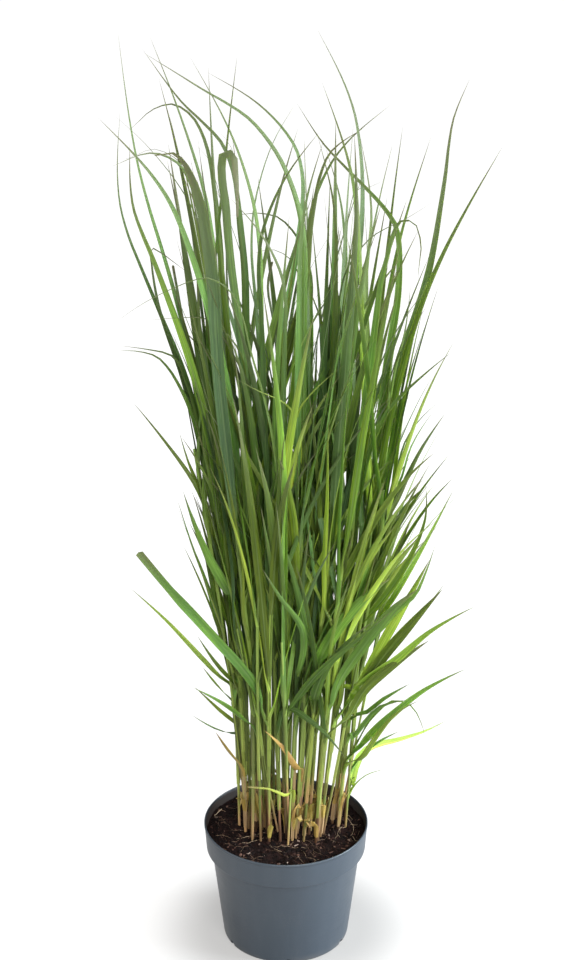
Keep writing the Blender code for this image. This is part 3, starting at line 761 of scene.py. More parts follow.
# number: width of the top leaf in mm, and its tone
shootLooks = {
    1: (6, 0.35), 2: (9, 0.55), 3: (7, 0.4), 4: (9.5, 0.3), 5: (13, 0.0), 6: (8, 0.6), 7: (7, 0.35),
    8: (8, 0.3), 9: (8, 0.35), 10: (8, 0.4), 11: (8.5, 0.08), 12: (9, 0.3), 13: (8, 0.5), 14: (7.5, 0.35),
    15: (8, 0.25), 16: (8.5, 0.2), 17: (8.5, 0.3), 18: (11, 0.6), 19: (8, 0.3), 20: (8, 0.45),
    21: (9, 0.45), 22: (8.5, 0.25), 23: (8.5, 0.5), 24: (12, 0.15), 25: (8, 0.35), 26: (10, 0.45),
    27: (8.5, 0.5), 28: (8, 0.45), 29: (9.5, 0.4), 30: (8, 0.5), 31: (8, 0.35), 32: (7, 0.5),
    33: (11, 0.15), 34: (8, 0.7), 35: (9, 0.4), 36: (9, 0.5), 37: (9, 0.4), 38: (9, 0.45),
    39: (9, 0.6), 40: (9, 0.25),
}

# bearer, height it parts from the bearer at, width, tone and points from base to tip, all sizes in mm
handSetLeaves = [
    # the crown
    (37, 850, 3, 0.3, [(-120, 155, 865), (-145, 165, 895), (-155, 170, 905), (-190, 180, 935)]),
    (11, 880, 3, 0.2, [(-70, -20, 905), (-80, -20, 935), (-95, -20, 950)]),
    (13, 760, 3, 0.2, [(-85, 115, 825), (-90, 120, 875), (-95, 125, 925)]),
    (8, 850, 4, 0.2, [(-50, 5, 895), (-55, 10, 935), (-70, 15, 955)]),
    (8, 750, 7, 0.3, [(-45, -10, 820), (-50, -20, 880), (-50, -25, 915), (-55, -30, 965)]),
    (25, 820, 4, 0.5, [(70, 105, 855), (75, 105, 870), (85, 110, 870), (110, 115, 880)]),
    (20, 770, 4, 0.3, [(65, -25, 825), (85, -20, 850), (125, -10, 870), (150, -5, 885)]),
    (26, 610, 5, 0.5, [(115, 10, 695), (125, 10, 740), (130, 10, 795)]),
    (26, 610, 4, 0.5, [(110, 10, 675), (115, 20, 720), (125, 25, 750), (140, 30, 765)]),
    (37, 860, 3, 0.4, [(-120, 160, 890), (-145, 165, 900), (-170, 170, 890), (-185, 170, 885)]),
    # the middle of the clump
    (1, 710, 7, 0.2, [(-135, 10, 775), (-140, 5, 820), (-140, 0, 835), (-130, 0, 830), (-115, -5, 820),
        (-100, -10, 810)]),
    (3, 630, 6, 0.2, [(-100, 40, 675), (-110, 40, 740), (-120, 40, 805)], {"blunt": 0.5}),
    (11, 660, 3, 0.6, [(-55, -35, 745), (-80, -40, 770), (-115, -50, 775), (-145, -60, 775)]),
    (1, 590, 6, 0.4, [(-105, 10, 680), (-120, 5, 715), (-150, 0, 725), (-175, -5, 730)]),
    (32, 660, 4, 0.5, [(15, 105, 770), (5, 95, 795), (-10, 95, 805), (-45, 85, 800)]),
    (35, 660, 6, 0.3, [(-15, 115, 725), (-20, 115, 755), (-15, 105, 790)], {"blunt": 0.5}),
    (36, 660, 4, 0.1, [(90, 125, 735), (90, 125, 770), (85, 135, 850)]),
    (33, 470, 7, 0.9, [(40, -5, 530), (45, -15, 585), (45, -20, 620), (40, -20, 635), (30, -25, 650),
        (20, -25, 660), (5, -30, 665)]),
    (9, 600, 3, 0.95, [(10, -60, 665), (15, -80, 690), (35, -95, 720), (60, -105, 745)], {"own": 0.5}),
    (9, 600, 3, 0.95, [(10, -60, 670), (-5, -83, 697), (-30, -95, 713), (-55, -100, 730)], {"own": 0.5}),
    (25, 520, 3, 0.9, [(40, 55, 590), (30, 55, 605), (15, 50, 600), (-20, 45, 585), (-50, 35, 570)]),
    (23, 450, 8, 0.5, [(50, -25, 505), (55, -30, 550), (55, -35, 585), (65, -50, 680)]),
    (39, 490, 12, 0.18, [(70, -20, 560), (70, -25, 630), (75, -30, 690), (65, -35, 790)]),
    (20, 410, 6.5, 0.85, [(20, -30, 445), (10, -40, 485), (0, -50, 525), (-10, -60, 560)]),
    # low on the left
    (1, 500, 5, 0.7, [(-90, 15, 550), (-100, 10, 575), (-115, 5, 630)]),
    (12, 400, 14, 0.3, [(-66, -20, 454), (-86, -20, 496), (-99, -20, 531), (-111, -20, 572)]),
    (1, 350, 6, 0.5, [(-75, 10, 405), (-80, 5, 435), (-95, -5, 525)]),
    (1, 350, 4, 0.4, [(-80, 15, 400), (-85, 15, 430), (-105, 15, 495), (-120, 15, 550)]),
    (3, 270, 7, 0.6, [(-70, 25, 300), (-95, 25, 335)]),
    (2, 310, 6, 0.7, [(-65, 0, 335), (-100, 15, 380)]),
    (13, 210, 7, 0.9, [(-45, 40, 235), (-80, 30, 280), (-105, 25, 310)]),
    (7, 220, 4, 0.1, [(-60, 40, 240), (-110, 40, 265)]),
    (2, 210, 8, 0.85, [(-60, -15, 240), (-80, -25, 280)], {"dry": 0.8}),
    (20, 210, 8, 0.9, [(14, -34, 235), (-4, -52, 275), (-25, -66, 305)], {"dry": 1.0}),
    (19, 190, 5, 1.0, [(0, -68, 222), (-20, -76, 236), (-43, -76, 238)],
        {"blunt": 0.4, "dry": 0.25, "own": 0.5}),
    # across the front, low in the middle
    (24, 360, 14, 0.35, [(39, -60, 394), (58, -60, 431), (85, -60, 464), (112, -60, 487)],
        {"taperFrom": 0.6}),
    (24, 370, 9, 0.3, [(30, -55, 400), (20, -60, 430), (12, -60, 470), (4, -60, 502), (-8, -60, 543)]),
    (24, 310, 11, 0.35, [(30, -68, 344), (42, -70, 381), (69, -70, 418), (92, -70, 439)]),
    # low on the right
    (27, 300, 12, 0.7, [(85, -30, 340), (109, -30, 379), (141, -30, 422), (171, -30, 460)],
        {"taperFrom": 0.6}),
    (30, 270, 11, 0.75, [(66, -45, 305), (87, -45, 343), (125, -45, 380), (157, -45, 405)],
        {"taperFrom": 0.6}),
    (30, 310, 13, 0.35, [(55, -50, 345), (86, -50, 402), (118, -50, 447), (143, -50, 470)],
        {"taperFrom": 0.65}),
    (39, 310, 11, 0.75, [(80, -25, 335), (95, -25, 366), (116, -25, 410), (137, -25, 452), (156, -25, 493)],
        {"taperFrom": 0.6}),
    (39, 340, 12, 0.6, [(73, -20, 380), (94, -20, 429), (118, -20, 490), (136, -20, 543)]),
    (27, 210, 8, 0.8, [(84, -30, 246), (103, -30, 278), (125, -30, 307), (149, -30, 322)]),
    (30, 370, 8, 0.4, [(70, -45, 395), (95, -45, 410), (120, -45, 440), (140, -45, 460), (150, -45, 485),
        (160, -45, 520)]),
    (21, 460, 9, 0.3, [(100, 10, 485), (120, 0, 525), (130, 0, 545), (150, -5, 570)]),
    (26, 470, 9, 0.5, [(105, 0, 530), (120, -5, 560), (135, -10, 590)]),
    (26, 550, 3, 0.4, [(120, 15, 580), (130, 20, 615), (140, 25, 630), (165, 30, 655)]),
    (26, 510, 3, 0.4, [(125, 15, 570), (135, 20, 605), (160, 30, 645)]),
    (27, 270, 7, 0.4, [(85, -5, 290), (110, -5, 310), (140, -5, 330)]),
    (27, 250, 7, 0.2, [(75, -10, 265), (105, -15, 305), (135, -25, 320)]),
    (26, 230, 3, 0.6, [(100, 10, 280), (125, 10, 300), (140, 10, 295), (155, 10, 270), (160, 10, 250)]),
    (26, 200, 6, 0.3, [(105, 10, 245), (130, 10, 260)]),
    (26, 170, 2, 0.8, [(90, 10, 200), (115, 10, 210)]),
    (16, 280, 8, 0.3, [(-5, -40, 310), (0, -45, 320), (30, -60, 310), (55, -75, 290), (65, -85, 280)]),
]

shootShape = {
    "stemShare": 0.47,
    "girth": (0.0013, 0.0018),
    "sheath": 0.15,
    "taperFrom": 0.36,
    "taper": 1.2,
    "tipGrows": 0.012,
    "hugs": 0.0035,
    "hugsFrom": 0.07,
    "hugsUpTo": 0.02,
    "hugStep": 0.06,
}

# top leaves with a look of their own: a shade for one, and two that don't run out to a fine point
specialTops = {
    9: {"own": 0.55},
    5: {"taperFrom": 0.62, "taper": 2.0, "blunt": 0.12},
    11: {"taperFrom": 0.8, "taper": 2.0, "blunt": 0.25, "channel": 0.6},
}
# one of them is bent over at the top. Sizes in mm
hookedShoot = 11
hookedTop = [(-65, -20, 915), (-62.5, -22, 938), (-56, -26, 940), (-50.5, -30, 914), (-49.5, -34, 876)]
hookStarts = 890


def mm(length):
    return length / 1000


def anyWay():
    return levelWay(luck.uniform(0, 2 * math.pi))


def growTopLeaf(bm, layers, shoot, number):
    width, tone = shootLooks[number]
    centres, spans, line, top = shoot["centres"], shoot["spans"], shoot["line"], shoot["top"]
    blade = centres[line["knots"] > top + 0.05]
    facing = np.cross(spans[len(centres) * 2 // 3], unit(centres[-1] - centres[len(centres) // 2]))
    look = {
        "girth": shoot["girth"] + 0.0002, "width": mm(width), "tone": tone, "lean": 0.0,
        "twist": luck.uniform(-0.25, 0.25),
        "sheath": shootShape["sheath"], "taperFrom": shootShape["taperFrom"], "taper": shootShape["taper"],
        **specialTops.get(number, {}),
    }
    if number == hookedShoot:
        blade = np.vstack([blade[blade[:, 2] < mm(hookStarts)], mm(np.array(hookedTop))])
        facing = (0.15, -1.0, 0.1)
    elif "blunt" not in look:
        blade = np.vstack([blade, blade[-1] + unit(blade[-1] - blade[-2]) * shootShape["tipGrows"]])
    leaf(bm, layers, line, top, list(blade), anyWay(), facing, look)


def huggingPoints(line, collar, parting, outward):
    # a leaf that parts high up keeps close to its shoot above the stem
    lowest, highest = collar + shootShape["hugsFrom"], parting - shootShape["hugsUpTo"]
    places = np.arange(lowest, highest, shootShape["hugStep"])
    return along(line, places) + outward * shootShape["hugs"]


def growHandSet(bm, layers, shoot, height, width, tone, points, more):
    line, top, points = shoot["line"], shoot["top"], mm(np.array(points))
    parting = distanceAtHeight(line, mm(height))
    collar = min(parting, top - 0.03)
    outward = points[0] - along(line, np.array([parting]))[0]
    outward[2] = 0.0
    outward = unit(outward) if np.linalg.norm(outward) > 1e-4 else anyWay()
    hugging = huggingPoints(line, collar, parting, outward)
    look = {
        "girth": shoot["girth"] + 0.0004, "width": mm(width), "tone": tone, "twist": luck.uniform(-0.2, 0.2),
        "lean": 0.05 if len(hugging) else 0.3, **more,
    }
    facing = (luck.uniform(-0.5, 0.5), -1.0, luck.uniform(0.2, 0.6))
    leaf(bm, layers, line, collar, [*hugging, *points], outward, facing, look)


# the leaves between. Low ones lean out, and high ones are longer and stand up
fillers = {
    "collars": (0.165, 0.23, 0.29, 0.34, 0.39, 0.43, 0.47),
    "length": (0.28, 0.4),
    "longerWithHeight": 0.25,
    "width": (4.5, 8.5),
    "widerWithHeight": 6.0,
    "firstLean": (4, 11),
    "lastLean": (12, 48),
    "strayShare": 0.25,
    "strayLean": 1.6,
    "uprightFrom": 0.3,
    "bareShare": 0.2,
    "bareBelow": 0.38,
    "reach": (0.085, 0.145),
    "reachHeights": (0.22, 0.72),
    "middle": 0.014,
    "lowest": 0.75,
    "gap": (-0.048, 0.012),
    "gapFrom": 0.65,
    "tries": 6,
    "shortens": 0.85,
    "straightens": (0.7, 0.72),
    "bend": (1.3, 3.0),
    "sheath": (0.07, 0.11),
    "taperFrom": 0.45,
    "taper": 1.4,
    "twist": 0.8,
    "toneShift": (-0.22, 0.25),
    "steps": 7,
    "wander": 0.08,
}


def leaningBlade(start, azimuth, length, firstLean, lastLean, bend):
    # a blade that leans further out as it goes, worked out step by step
    steps, wander = fillers["steps"], fillers["wander"]
    place, points = Vector(start), []
    for step in range(1, steps + 1):
        lean = math.radians(firstLean + (lastLean - firstLean) * (step / steps) ** bend)
        azimuth += luck.uniform(-wander, wander)
        out = Vector((math.sin(lean) * math.cos(azimuth), math.sin(lean) * math.sin(azimuth), math.cos(lean)))
        place = place + out * (length / steps)
        points.append(tuple(place))
    return points


def reachAt(height):
    # how far a tip may stand out from the clump's middle
    return float(np.interp(height, fillers["reachHeights"], fillers["reach"]))


def growFiller(bm, layers, shoot, collar, azimuth, tone, look, leans, length):
    # the blade is bent less and less until its tip stays inside the clump
    line, girth = shoot["line"], shoot["girth"]
    start = along(line, np.array([collar]))[0]
    outward = levelWay(azimuth)
    firstLean, lastLean = leans
    bend = luck.uniform(*fillers["bend"])
    for _ in range(fillers["tries"]):
        points = leaningBlade(start + outward * girth, azimuth, length, firstLean, lastLean, bend)
        end = points[-1]
        if fillers["gap"][0] < end[0] < fillers["gap"][1] and end[2] > fillers["gapFrom"]:
            length *= fillers["shortens"]
        elif math.hypot(end[0] - fillers["middle"], end[1]) < look.get("reach", reachAt(end[2])):
            break
        else:
            firstLean, lastLean = firstLean * fillers["straightens"][0], lastLean * fillers["straightens"][1]
    turn = azimuth + luck.uniform(-1.2, 1.2)
    look = {
        "tone": min(1.0, max(0.0, tone + luck.uniform(*fillers["toneShift"]))),
        "twist": luck.uniform(-fillers["twist"], fillers["twist"]),
        "sheath": luck.uniform(*fillers["sheath"]), "lean": math.tan(math.radians(firstLean)),
        "taperFrom": fillers["taperFrom"], "taper": fillers["taper"],
        "width": mm(luck.uniform(*fillers["width"]) + fillers["widerWithHeight"] * max(0.0, collar - 0.2)),
        **look,
    }
    leaf(bm, layers, line, collar, points[1:], outward, (math.cos(turn), math.sin(turn), -0.3), look)


def growFillers(bm, layers, shoot, tone, collars):
    azimuth = luck.uniform(0, 2 * math.pi)
    for number, height in enumerate(collars):
        collar = height + luck.uniform(-0.03, 0.03)
        bare = height < fillers["bareBelow"] and luck.random() < fillers["bareShare"]
        if bare or collar > shoot["top"] - 0.02:
            continue
        azimuth += math.pi + luck.uniform(-0.7, 0.7)
        upright = smoothShare(height, fillers["uprightFrom"] - 0.12, fillers["uprightFrom"] + 0.12)
        length = luck.uniform(*fillers["length"]) + fillers["longerWithHeight"] * max(0.0, height - 0.2)
        length *= fillers["lowest"] if number == 0 else 1.0
        stray = fillers["strayLean"] if luck.random() < fillers["strayShare"] else 1.0
        leans = (
            luck.uniform(*fillers["firstLean"]) * stray,
            luck.uniform(*fillers["lastLean"]) * stray * (1 - 0.5 * upright),
        )
        look = {"girth": shoot["girth"] + 0.0006 - 0.00008 * number}
        growFiller(bm, layers, shoot, collar, azimuth, tone, look, leans, length)


# leaves that fan out at the sides, and those that make the two dense parts of the top. Headings and leans
# are in degrees, widths in mm. A row without a width takes the fillers' own
fanShape = (
    "bearers", "heading", "spread", "count", "reach", "tone", "collar", "length", "lean", "tipLean", "width",
)
fans = [
    # on the right
    ((21, 26, 28, 29), 0, 0.8, 1, 0.16, 0.6, (0.26, 0.44), (0.22, 0.3), (6, 14), (15, 35), (8, 11)),
    ((21, 26, 27, 28, 30, 39), -10, 0.7, 1, 0.182, 0.75, (0.14, 0.28), (0.28, 0.36), (10, 18), (20, 40)),
    ((24, 26, 28, 30, 39), -10, 0.6, 2, 0.186, 0.8, (0.18, 0.3), (0.18, 0.26), (20, 32), (32, 55), (6, 9.5)),
    ((26, 27, 28, 29, 30, 39), -10, 0.9, 3, 0.17, 0.8, (0.14, 0.22), (0.2, 0.32), (6, 16), (12, 34)),
    # on the left
    ((1, 2, 3), 180, 0.6, 1, 0.13, 0.75, (0.2, 0.36), (0.24, 0.32), (8, 16), (20, 45)),
    ((1, 2, 3, 7, 12), 180, 0.6, 2, 0.135, 0.85, (0.14, 0.22), (0.18, 0.28), (8, 18), (18, 42), (5, 8.5)),
    # across the front
    ((4, 5, 11, 16, 19, 40), 0, 0.6, 2, 0.125, 0.75, (0.16, 0.34), (0.2, 0.3), (12, 24), (25, 52), (6, 9)),
    ((16, 18, 24, 30, 31, 38), 180, 0.6, 2, 0.125, 0.75, (0.16, 0.34), (0.2, 0.3),
        (12, 24), (25, 52), (6, 9)),
    # to the front and the back
    ((30, 24, 31, 38), -60, 0.8, 1, 0.15, 0.6, (0.16, 0.4), (0.24, 0.34), (9, 20), (22, 50)),
    ((25, 28, 36, 32), 70, 0.8, 1, 0.15, 0.55, (0.16, 0.4), (0.24, 0.34), (9, 20), (22, 50)),
    ((4, 5, 16, 19, 20, 24, 31, 38, 40), -90, 1.5, 2, 0.135, 0.65, (0.19, 0.42), (0.26, 0.38),
        (8, 16), (25, 58), (7, 10)),
    # between the stems, low down
    ((16, 18, 24, 27, 29, 30, 31, 38, 39), -50, 1.2, 1, 0.135, 0.55, (0.145, 0.19), (0.16, 0.26),
        (5, 14), (10, 35)),
    # the top, left and right of its gap
    ((2, 4, 6, 12, 13), 190, 0.7, 1, 0.15, 0.3, (0.42, 0.5), (0.38, 0.47), (5, 8), (6, 16), (8, 11)),
    ((18, 20, 23, 33, 40), 95, 1.2, 3, 0.15, 0.32, (0.42, 0.5), (0.38, 0.46), (1, 4), (2, 10), (8.5, 11)),
]


def growFans(bm, layers, shoot, number):
    for row in fans:
        fan = dict(zip(fanShape, row))
        for _ in range(fan["count"] if number in fan["bearers"] else 0):
            collar = min(luck.uniform(*fan["collar"]), shoot["top"] - 0.02)
            azimuth = math.radians(fan["heading"]) + luck.uniform(-fan["spread"], fan["spread"])
            leans = (luck.uniform(*fan["lean"]), luck.uniform(*fan["tipLean"]))
            look = {"girth": shoot["girth"] + 0.0007, "reach": fan["reach"]}
            if "width" in fan:
                look["width"] = mm(luck.uniform(*fan["width"]))
            length = luck.uniform(*fan["length"])
            growFiller(bm, layers, shoot, collar, azimuth, fan["tone"], look, leans, length)


# a side tiller comes up beside a shoot and stays shorter than it
tillers = {
    "foot": (0.005, 0.01),
    "spread": 1.5,
    "stray": 0.075,
    "height": (0.34, 0.62),
    "girth": (0.0011, 0.0016),
    "stemShare": 0.8,
    "step": 0.06,
}


def growTiller(bm, layers, shoot, tone):
    height = luck.uniform(*tillers["height"])
    aside = anyWay() * luck.uniform(*tillers["foot"])
    distances = np.arange(0.0, height + 0.01, tillers["step"])
    stray = anyWay() * luck.uniform(0.0, tillers["stray"])
    drift = (aside * tillers["spread"] + stray) * distances[:, None]
    line = growthLine(along(shoot["line"], distances) + aside + drift)
    top = line["length"] * tillers["stemShare"]
    tiller = {"line": line, "top": top, "girth": luck.uniform(*tillers["girth"])}
    stem(bm, layers, line, top, tiller["girth"], {"tone": tone, "own": luck.random()})
    growFillers(bm, layers, tiller, tone, (0.18, top - 0.1, top - 0.04))


# dry sheaths and torn leaf bases round each stem's foot
husks = {"count": (0, 2), "collar": (0.006, 0.035), "length": (0.015, 0.05), "width": (2, 4), "lean": (6, 50)}


def growHusks(bm, layers, shoot):
    for _ in range(luck.randint(*husks["count"])):
        collar, turn = luck.uniform(*husks["collar"]), luck.uniform(0, 2 * math.pi)
        start = along(shoot["line"], np.array([collar]))[0]
        outward = levelWay(turn)
        lean = luck.uniform(*husks["lean"])
        length = luck.uniform(*husks["length"])
        points = leaningBlade(start + outward * shoot["girth"], turn, length, lean * 0.4, lean * 1.6, 1.0)
        look = {
            "girth": shoot["girth"] + luck.uniform(0.0005, 0.0012),
            "width": mm(luck.uniform(*husks["width"])),
            "tone": 1.0, "dry": luck.uniform(0.75, 1.0), "twist": luck.uniform(-1.6, 1.6), "blunt": 0.35,
            "lean": math.tan(math.radians(lean * 0.4)), "sheath": collar,
        }
        leaf(bm, layers, shoot["line"], collar, points[3:], outward, anyWay() + np.array((0, 0, 0.3)), look)


def makeShoots(materials):
    shoots = {}
    for number in sorted(shootLooks):
        node = f"shoot_{number:02d}"
        centres, spans = ringCentres(node)
        line = growthLine(centres)
        top = line["length"] * shootShape["stemShare"]
        girth = luck.uniform(*shootShape["girth"])
        shoot = {"centres": centres, "spans": spans, "line": line, "top": top, "girth": girth}
        shoots[number] = shoot
        tone = shootLooks[number][1]
        bm, layers = newClump()
        stemTone = min(1.0, tone + luck.uniform(0.0, 0.3))
        stem(bm, layers, line, top, girth, {"tone": stemTone, "own": luck.random()})
        growTopLeaf(bm, layers, shoot, number)
        growFillers(bm, layers, shoot, tone, fillers["collars"])
        growFans(bm, layers, shoot, number)
        growHusks(bm, layers, shoot)
        growTiller(bm, layers, shoot, tone)
        for bearer, height, width, leafTone, points, *more in handSetLeaves:
            if bearer == number:
                growHandSet(bm, layers, shoot, height, width, leafTone, points, more[0] if more else {})
        piece = finishedClump(bm, f"grass_shoot_{number:02d}", materials)
        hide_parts(node)
        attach(piece, "root")
    return shoots


# number: width in mm and tone
sideLooks = {
    1: (6, 0.7), 2: (11, 0.35), 3: (6, 0.9), 4: (7, 0.3), 5: (6, 0.35), 6: (3, 0.6), 7: (11, 0.65),
    8: (9.5, 0.45), 9: (10, 1.0), 10: (7, 0.6), 11: (8, 0.55), 12: (8.5, 0.6), 13: (7, 0.5),
    14: (7, 0.4), 15: (8.5, 0.3), 16: (8.5, 0.25), 17: (7, 0.45), 18: (7, 0.55),
}
bluntSideLeaf = 2
sideSamples = 400


def makeSideLeaves(shoots, materials):
    # each one stands for a side blade's solid, and its sheath goes down the stem that bears it
    lines = {n: shoot["line"] for n, shoot in shoots.items()}
    samples = {n: along(line, np.linspace(0, line["length"], sideSamples)) for n, line in lines.items()}
    for number, (width, tone) in sideLooks.items():
        node = f"side_blade_{number:02d}"
        corners = np.unique(np.round([v.co for v in nodes[node].data.vertices], 5), axis=0)
        gaps = {n: np.linalg.norm(corners[:, None] - places[None], axis=2) for n, places in samples.items()}
        bearer = min(gaps, key=lambda n: gaps[n].min())
        corner, sample = np.unravel_index(gaps[bearer].argmin(), gaps[bearer].shape)
        centres, spans = ringCentres(node, Vector(corners[corner]))
        line = lines[bearer]
        parting = line["length"] * sample / (sideSamples - 1)
        collar = max(min(parting - 0.012, shoots[bearer]["top"] - 0.02), 0.01)
        outward = centres[1] - samples[bearer][sample]
        outward[2] = 0
        outward = unit(outward)
        hugging = huggingPoints(line, collar, parting, outward)
        facing = np.cross(spans[len(spans) // 2], unit(centres[-1] - centres[1]))
        look = {
            "girth": shoots[bearer]["girth"] + 0.0004, "width": mm(width), "tone": tone, "sheath": 0.08,
            "lean": 0.05 if len(hugging) else 0.35, "twist": luck.uniform(-0.3, 0.3),
        }
        if number == bluntSideLeaf:
            look.update(blunt=0.8, taperFrom=0.7, own=0.56)
        bm, layers = newClump()
        leaf(bm, layers, line, collar, [*hugging, *centres[1:]], outward, facing, look)
        piece = finishedClump(bm, f"side_leaf_{number:02d}", materials)
        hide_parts(node)
        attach(piece, "root")


# the pot

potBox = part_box("pot")
pot = {
    "height": potBox[1][2],
    "rim": potBox[1][0],
    "band": 0.032,
    "bandLow": 0.0925,
    "bodyTop": 0.0865,
    "base": 0.073,
    "corner": 0.005,
    "wall": 0.0016,
    "floor": 0.002,
    "step": 0.0012,
    "lip": 0.0007,
    "steps": 160,
    "holes": 6,
    "holeRadius": 0.0042,
    "holeHeight": 0.0035,
    "holeTurn": 1.5,
    "holeDroop": 38,
    "holeSides": 24,
    "drillDepth": 0.012,
}


def innerRadius(height):
    bandFoot = pot["height"] - pot["band"]
    if height > bandFoot:
        share = (height - bandFoot) / pot["band"]
        return pot["bandLow"] + (pot["rim"] - pot["bandLow"]) * share - pot["wall"]
    return pot["base"] + (pot["bodyTop"] - pot["base"]) * height / bandFoot - pot["wall"]


def roundedProfile(corners, steps=5):
    # corners are radius, height and rounding. Each rounding becomes a short curve between its sides
    profile = []
    for before, corner, after in zip([corners[0], *corners], corners, [*corners[1:], corners[-1]]):
        here = Vector(corner[:2])
        if corner[2] == 0:
            profile.append(tuple(here))
            continue
        back, ahead = (Vector(before[:2]) - here).normalized(), (Vector(after[:2]) - here).normalized()
        start, end = here + back * corner[2], here + ahead * corner[2]
        for step in range(steps + 1):
            t = step / steps
            profile.append(tuple(start * (1 - t) ** 2 + here * 2 * t * (1 - t) + end * t**2))
    return profile


def turnedFrom(profile, steps):
    # the profile goes from axis to axis, and is spun once round
    bm = bmesh.new()
    verts = [bm.verts.new((radius, 0, height)) for radius, height in profile]
    edges = [bm.edges.new(pair) for pair in zip(verts, verts[1:])]
    whole, centre, axis = 2 * math.pi, (0, 0, 0), (0, 0, 1)
    bmesh.ops.spin(
        bm, geom=verts + edges, cent=centre, axis=axis, angle=whole, steps=steps, use_merge=True,
    )
    bmesh.ops.remove_doubles(bm, verts=bm.verts[:], dist=1e-6)
    bmesh.ops.recalc_face_normals(bm, faces=bm.faces[:])
    return bm


def drainDrills():
    bm = bmesh.new()
    for hole in range(pot["holes"]):
        turn = 2 * math.pi * (hole + 0.5) / pot["holes"] + math.radians(pot["holeTurn"])
        outward = Vector((math.cos(turn), math.sin(turn), 0))
        aim = outward + Vector((0, 0, -math.tan(math.radians(pot["holeDroop"]))))
        sizes = {"radius1": pot["holeRadius"], "radius2": pot["holeRadius"], "depth": pot["drillDepth"]}
        drill = bmesh.ops.create_cone(bm, cap_ends=True, segments=pot["holeSides"], **sizes)
        bmesh.ops.rotate(bm, verts=drill["verts"], matrix=aim.to_track_quat("Z", "Y").to_matrix())
        middle = outward * (pot["base"] - pot["wall"]) + Vector((0, 0, pot["holeHeight"]))
        bmesh.ops.translate(bm, verts=drill["verts"], vec=middle)
    return pieceFrom(bm, "drainDrills", [])


def makePot(material):
    high, bandFoot, wall, lip = pot["height"], pot["height"] - pot["band"], pot["wall"], pot["lip"]
    outside = [
        (0.0, 0.0, 0), (pot["base"], 0.0, pot["corner"]), (pot["bodyTop"], bandFoot - 0.0015, 0.001),
        (pot["bandLow"], bandFoot, pot["step"]), (pot["rim"] - 0.0005, high - 0.0034, 0.0008),
        (pot["rim"], high - 0.0028, 0.0006), (pot["rim"], high, lip),
    ]
    inside = [
        (innerRadius(high), high, lip), (innerRadius(bandFoot + 0.002), bandFoot + 0.002, 0.001),
        (innerRadius(bandFoot), bandFoot - 0.002, 0.001), (innerRadius(0.006), 0.006, 0.001),
        (innerRadius(pot["floor"]) - 0.006, pot["floor"], 0.002), (0.0, pot["floor"], 0),
    ]
    bm = turnedFrom(roundedProfile(outside + inside), pot["steps"])
    stain = bm.verts.layers.float.new("inside")
    for vert in bm.verts:
        reach = math.hypot(vert.co.x, vert.co.y)
        vert[stain] = float(reach < innerRadius(vert.co.z) + wall * 0.35 and vert.co.z > pot["floor"] / 2)
    piece = pieceFrom(bm, "nursery_pot", [material])
    drills = drainDrills()
    cut = piece.modifiers.new("drainHoles", "BOOLEAN")
    cut.operation, cut.solver, cut.object = "DIFFERENCE", "EXACT", drills
    cutMesh = bpy.data.meshes.new_from_object(piece.evaluated_get(bpy.context.evaluated_depsgraph_get()))
    piece.modifiers.clear()
    piece.data = cutMesh
    cutMesh.name = "nursery_pot"
    bpy.data.objects.remove(drills)
    cutMesh.shade_smooth()
    cutMesh.set_sharp_from_angle(angle=math.radians(40))
    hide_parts("pot")
    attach(piece, "root")


# the compost and what lies on it

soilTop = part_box("soil")[1][2]
compost = {
    "gap": 0.0005,
    "rings": 62,
    "steps": 190,
    "rise": 0.0015,
    "heaves": (0.0032, 38.0),
    "lumps": (0.0022, 150.0),
    "grit": (0.0012, 420.0),
    "mound": (0.002, 0.05),
    "moundMiddle": 0.01,
    "cornerHeight": 0.01,
    "bendHeight": 0.11,
}


def compostHeight(x, y):
    # slow heaves, lumps and grit, and a low mound round the stems
    place = Vector((x, y, 0.0))
    heaves, lumps, grit, mound = (compost[name] for name in ("heaves", "lumps", "grit", "mound"))
    height = soilTop + compost["rise"]
    height += heaves[0] * noise.noise(place * heaves[1] + Vector((3.1, 0, 0)))
    height += lumps[0] * noise.noise(place * lumps[1])
    height += grit[0] * abs(noise.noise(place * grit[1]))
    height += mound[0] * math.exp(-((math.hypot(x - compost["moundMiddle"], y) / mound[1]) ** 2))
    return max(height, soilTop - compost["gap"])


def makeCompost(material):
    edge = innerRadius(soilTop) - compost["gap"]
    floor, bend, corner = pot["floor"] + 0.0006, compost["bendHeight"], compost["cornerHeight"]
    across = [(edge * ring / compost["rings"], soilTop) for ring in range(compost["rings"] + 1)]
    under = [
        (edge, soilTop - 0.004), (innerRadius(bend) - 0.001, bend), (innerRadius(corner) - 0.001, corner),
        (innerRadius(pot["floor"]) - 0.009, floor), (0.0, floor),
    ]
    bm = turnedFrom(across + under, compost["steps"])
    for vert in bm.verts:
        if vert.co.z > soilTop - 0.001:
            vert.co.z = compostHeight(vert.co.x, vert.co.y)
    piece = pieceFrom(bm, "peat_compost", [material], sharpAngle=75)
    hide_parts("soil")
    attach(piece, "root")


litter = {
    "crumbs": 3000,
    "crumbSize": (0.0006, 0.0022),
    "chips": 150,
    "chipLength": (0.002, 0.006),
    "chipShades": (0.5, 0.7, 0.8, 0.9, 0.97),
    "fibres": 110,
    "fibreLength": (0.008, 0.032),
    "fibreCurl": (-60, 60),
    "fibreGirth": (0.00009, 0.00022),
    "fibreShade": 0.7,
    "fibreSides": 5,
    "fibreStep": 0.0025,
    "batch": 60,
}


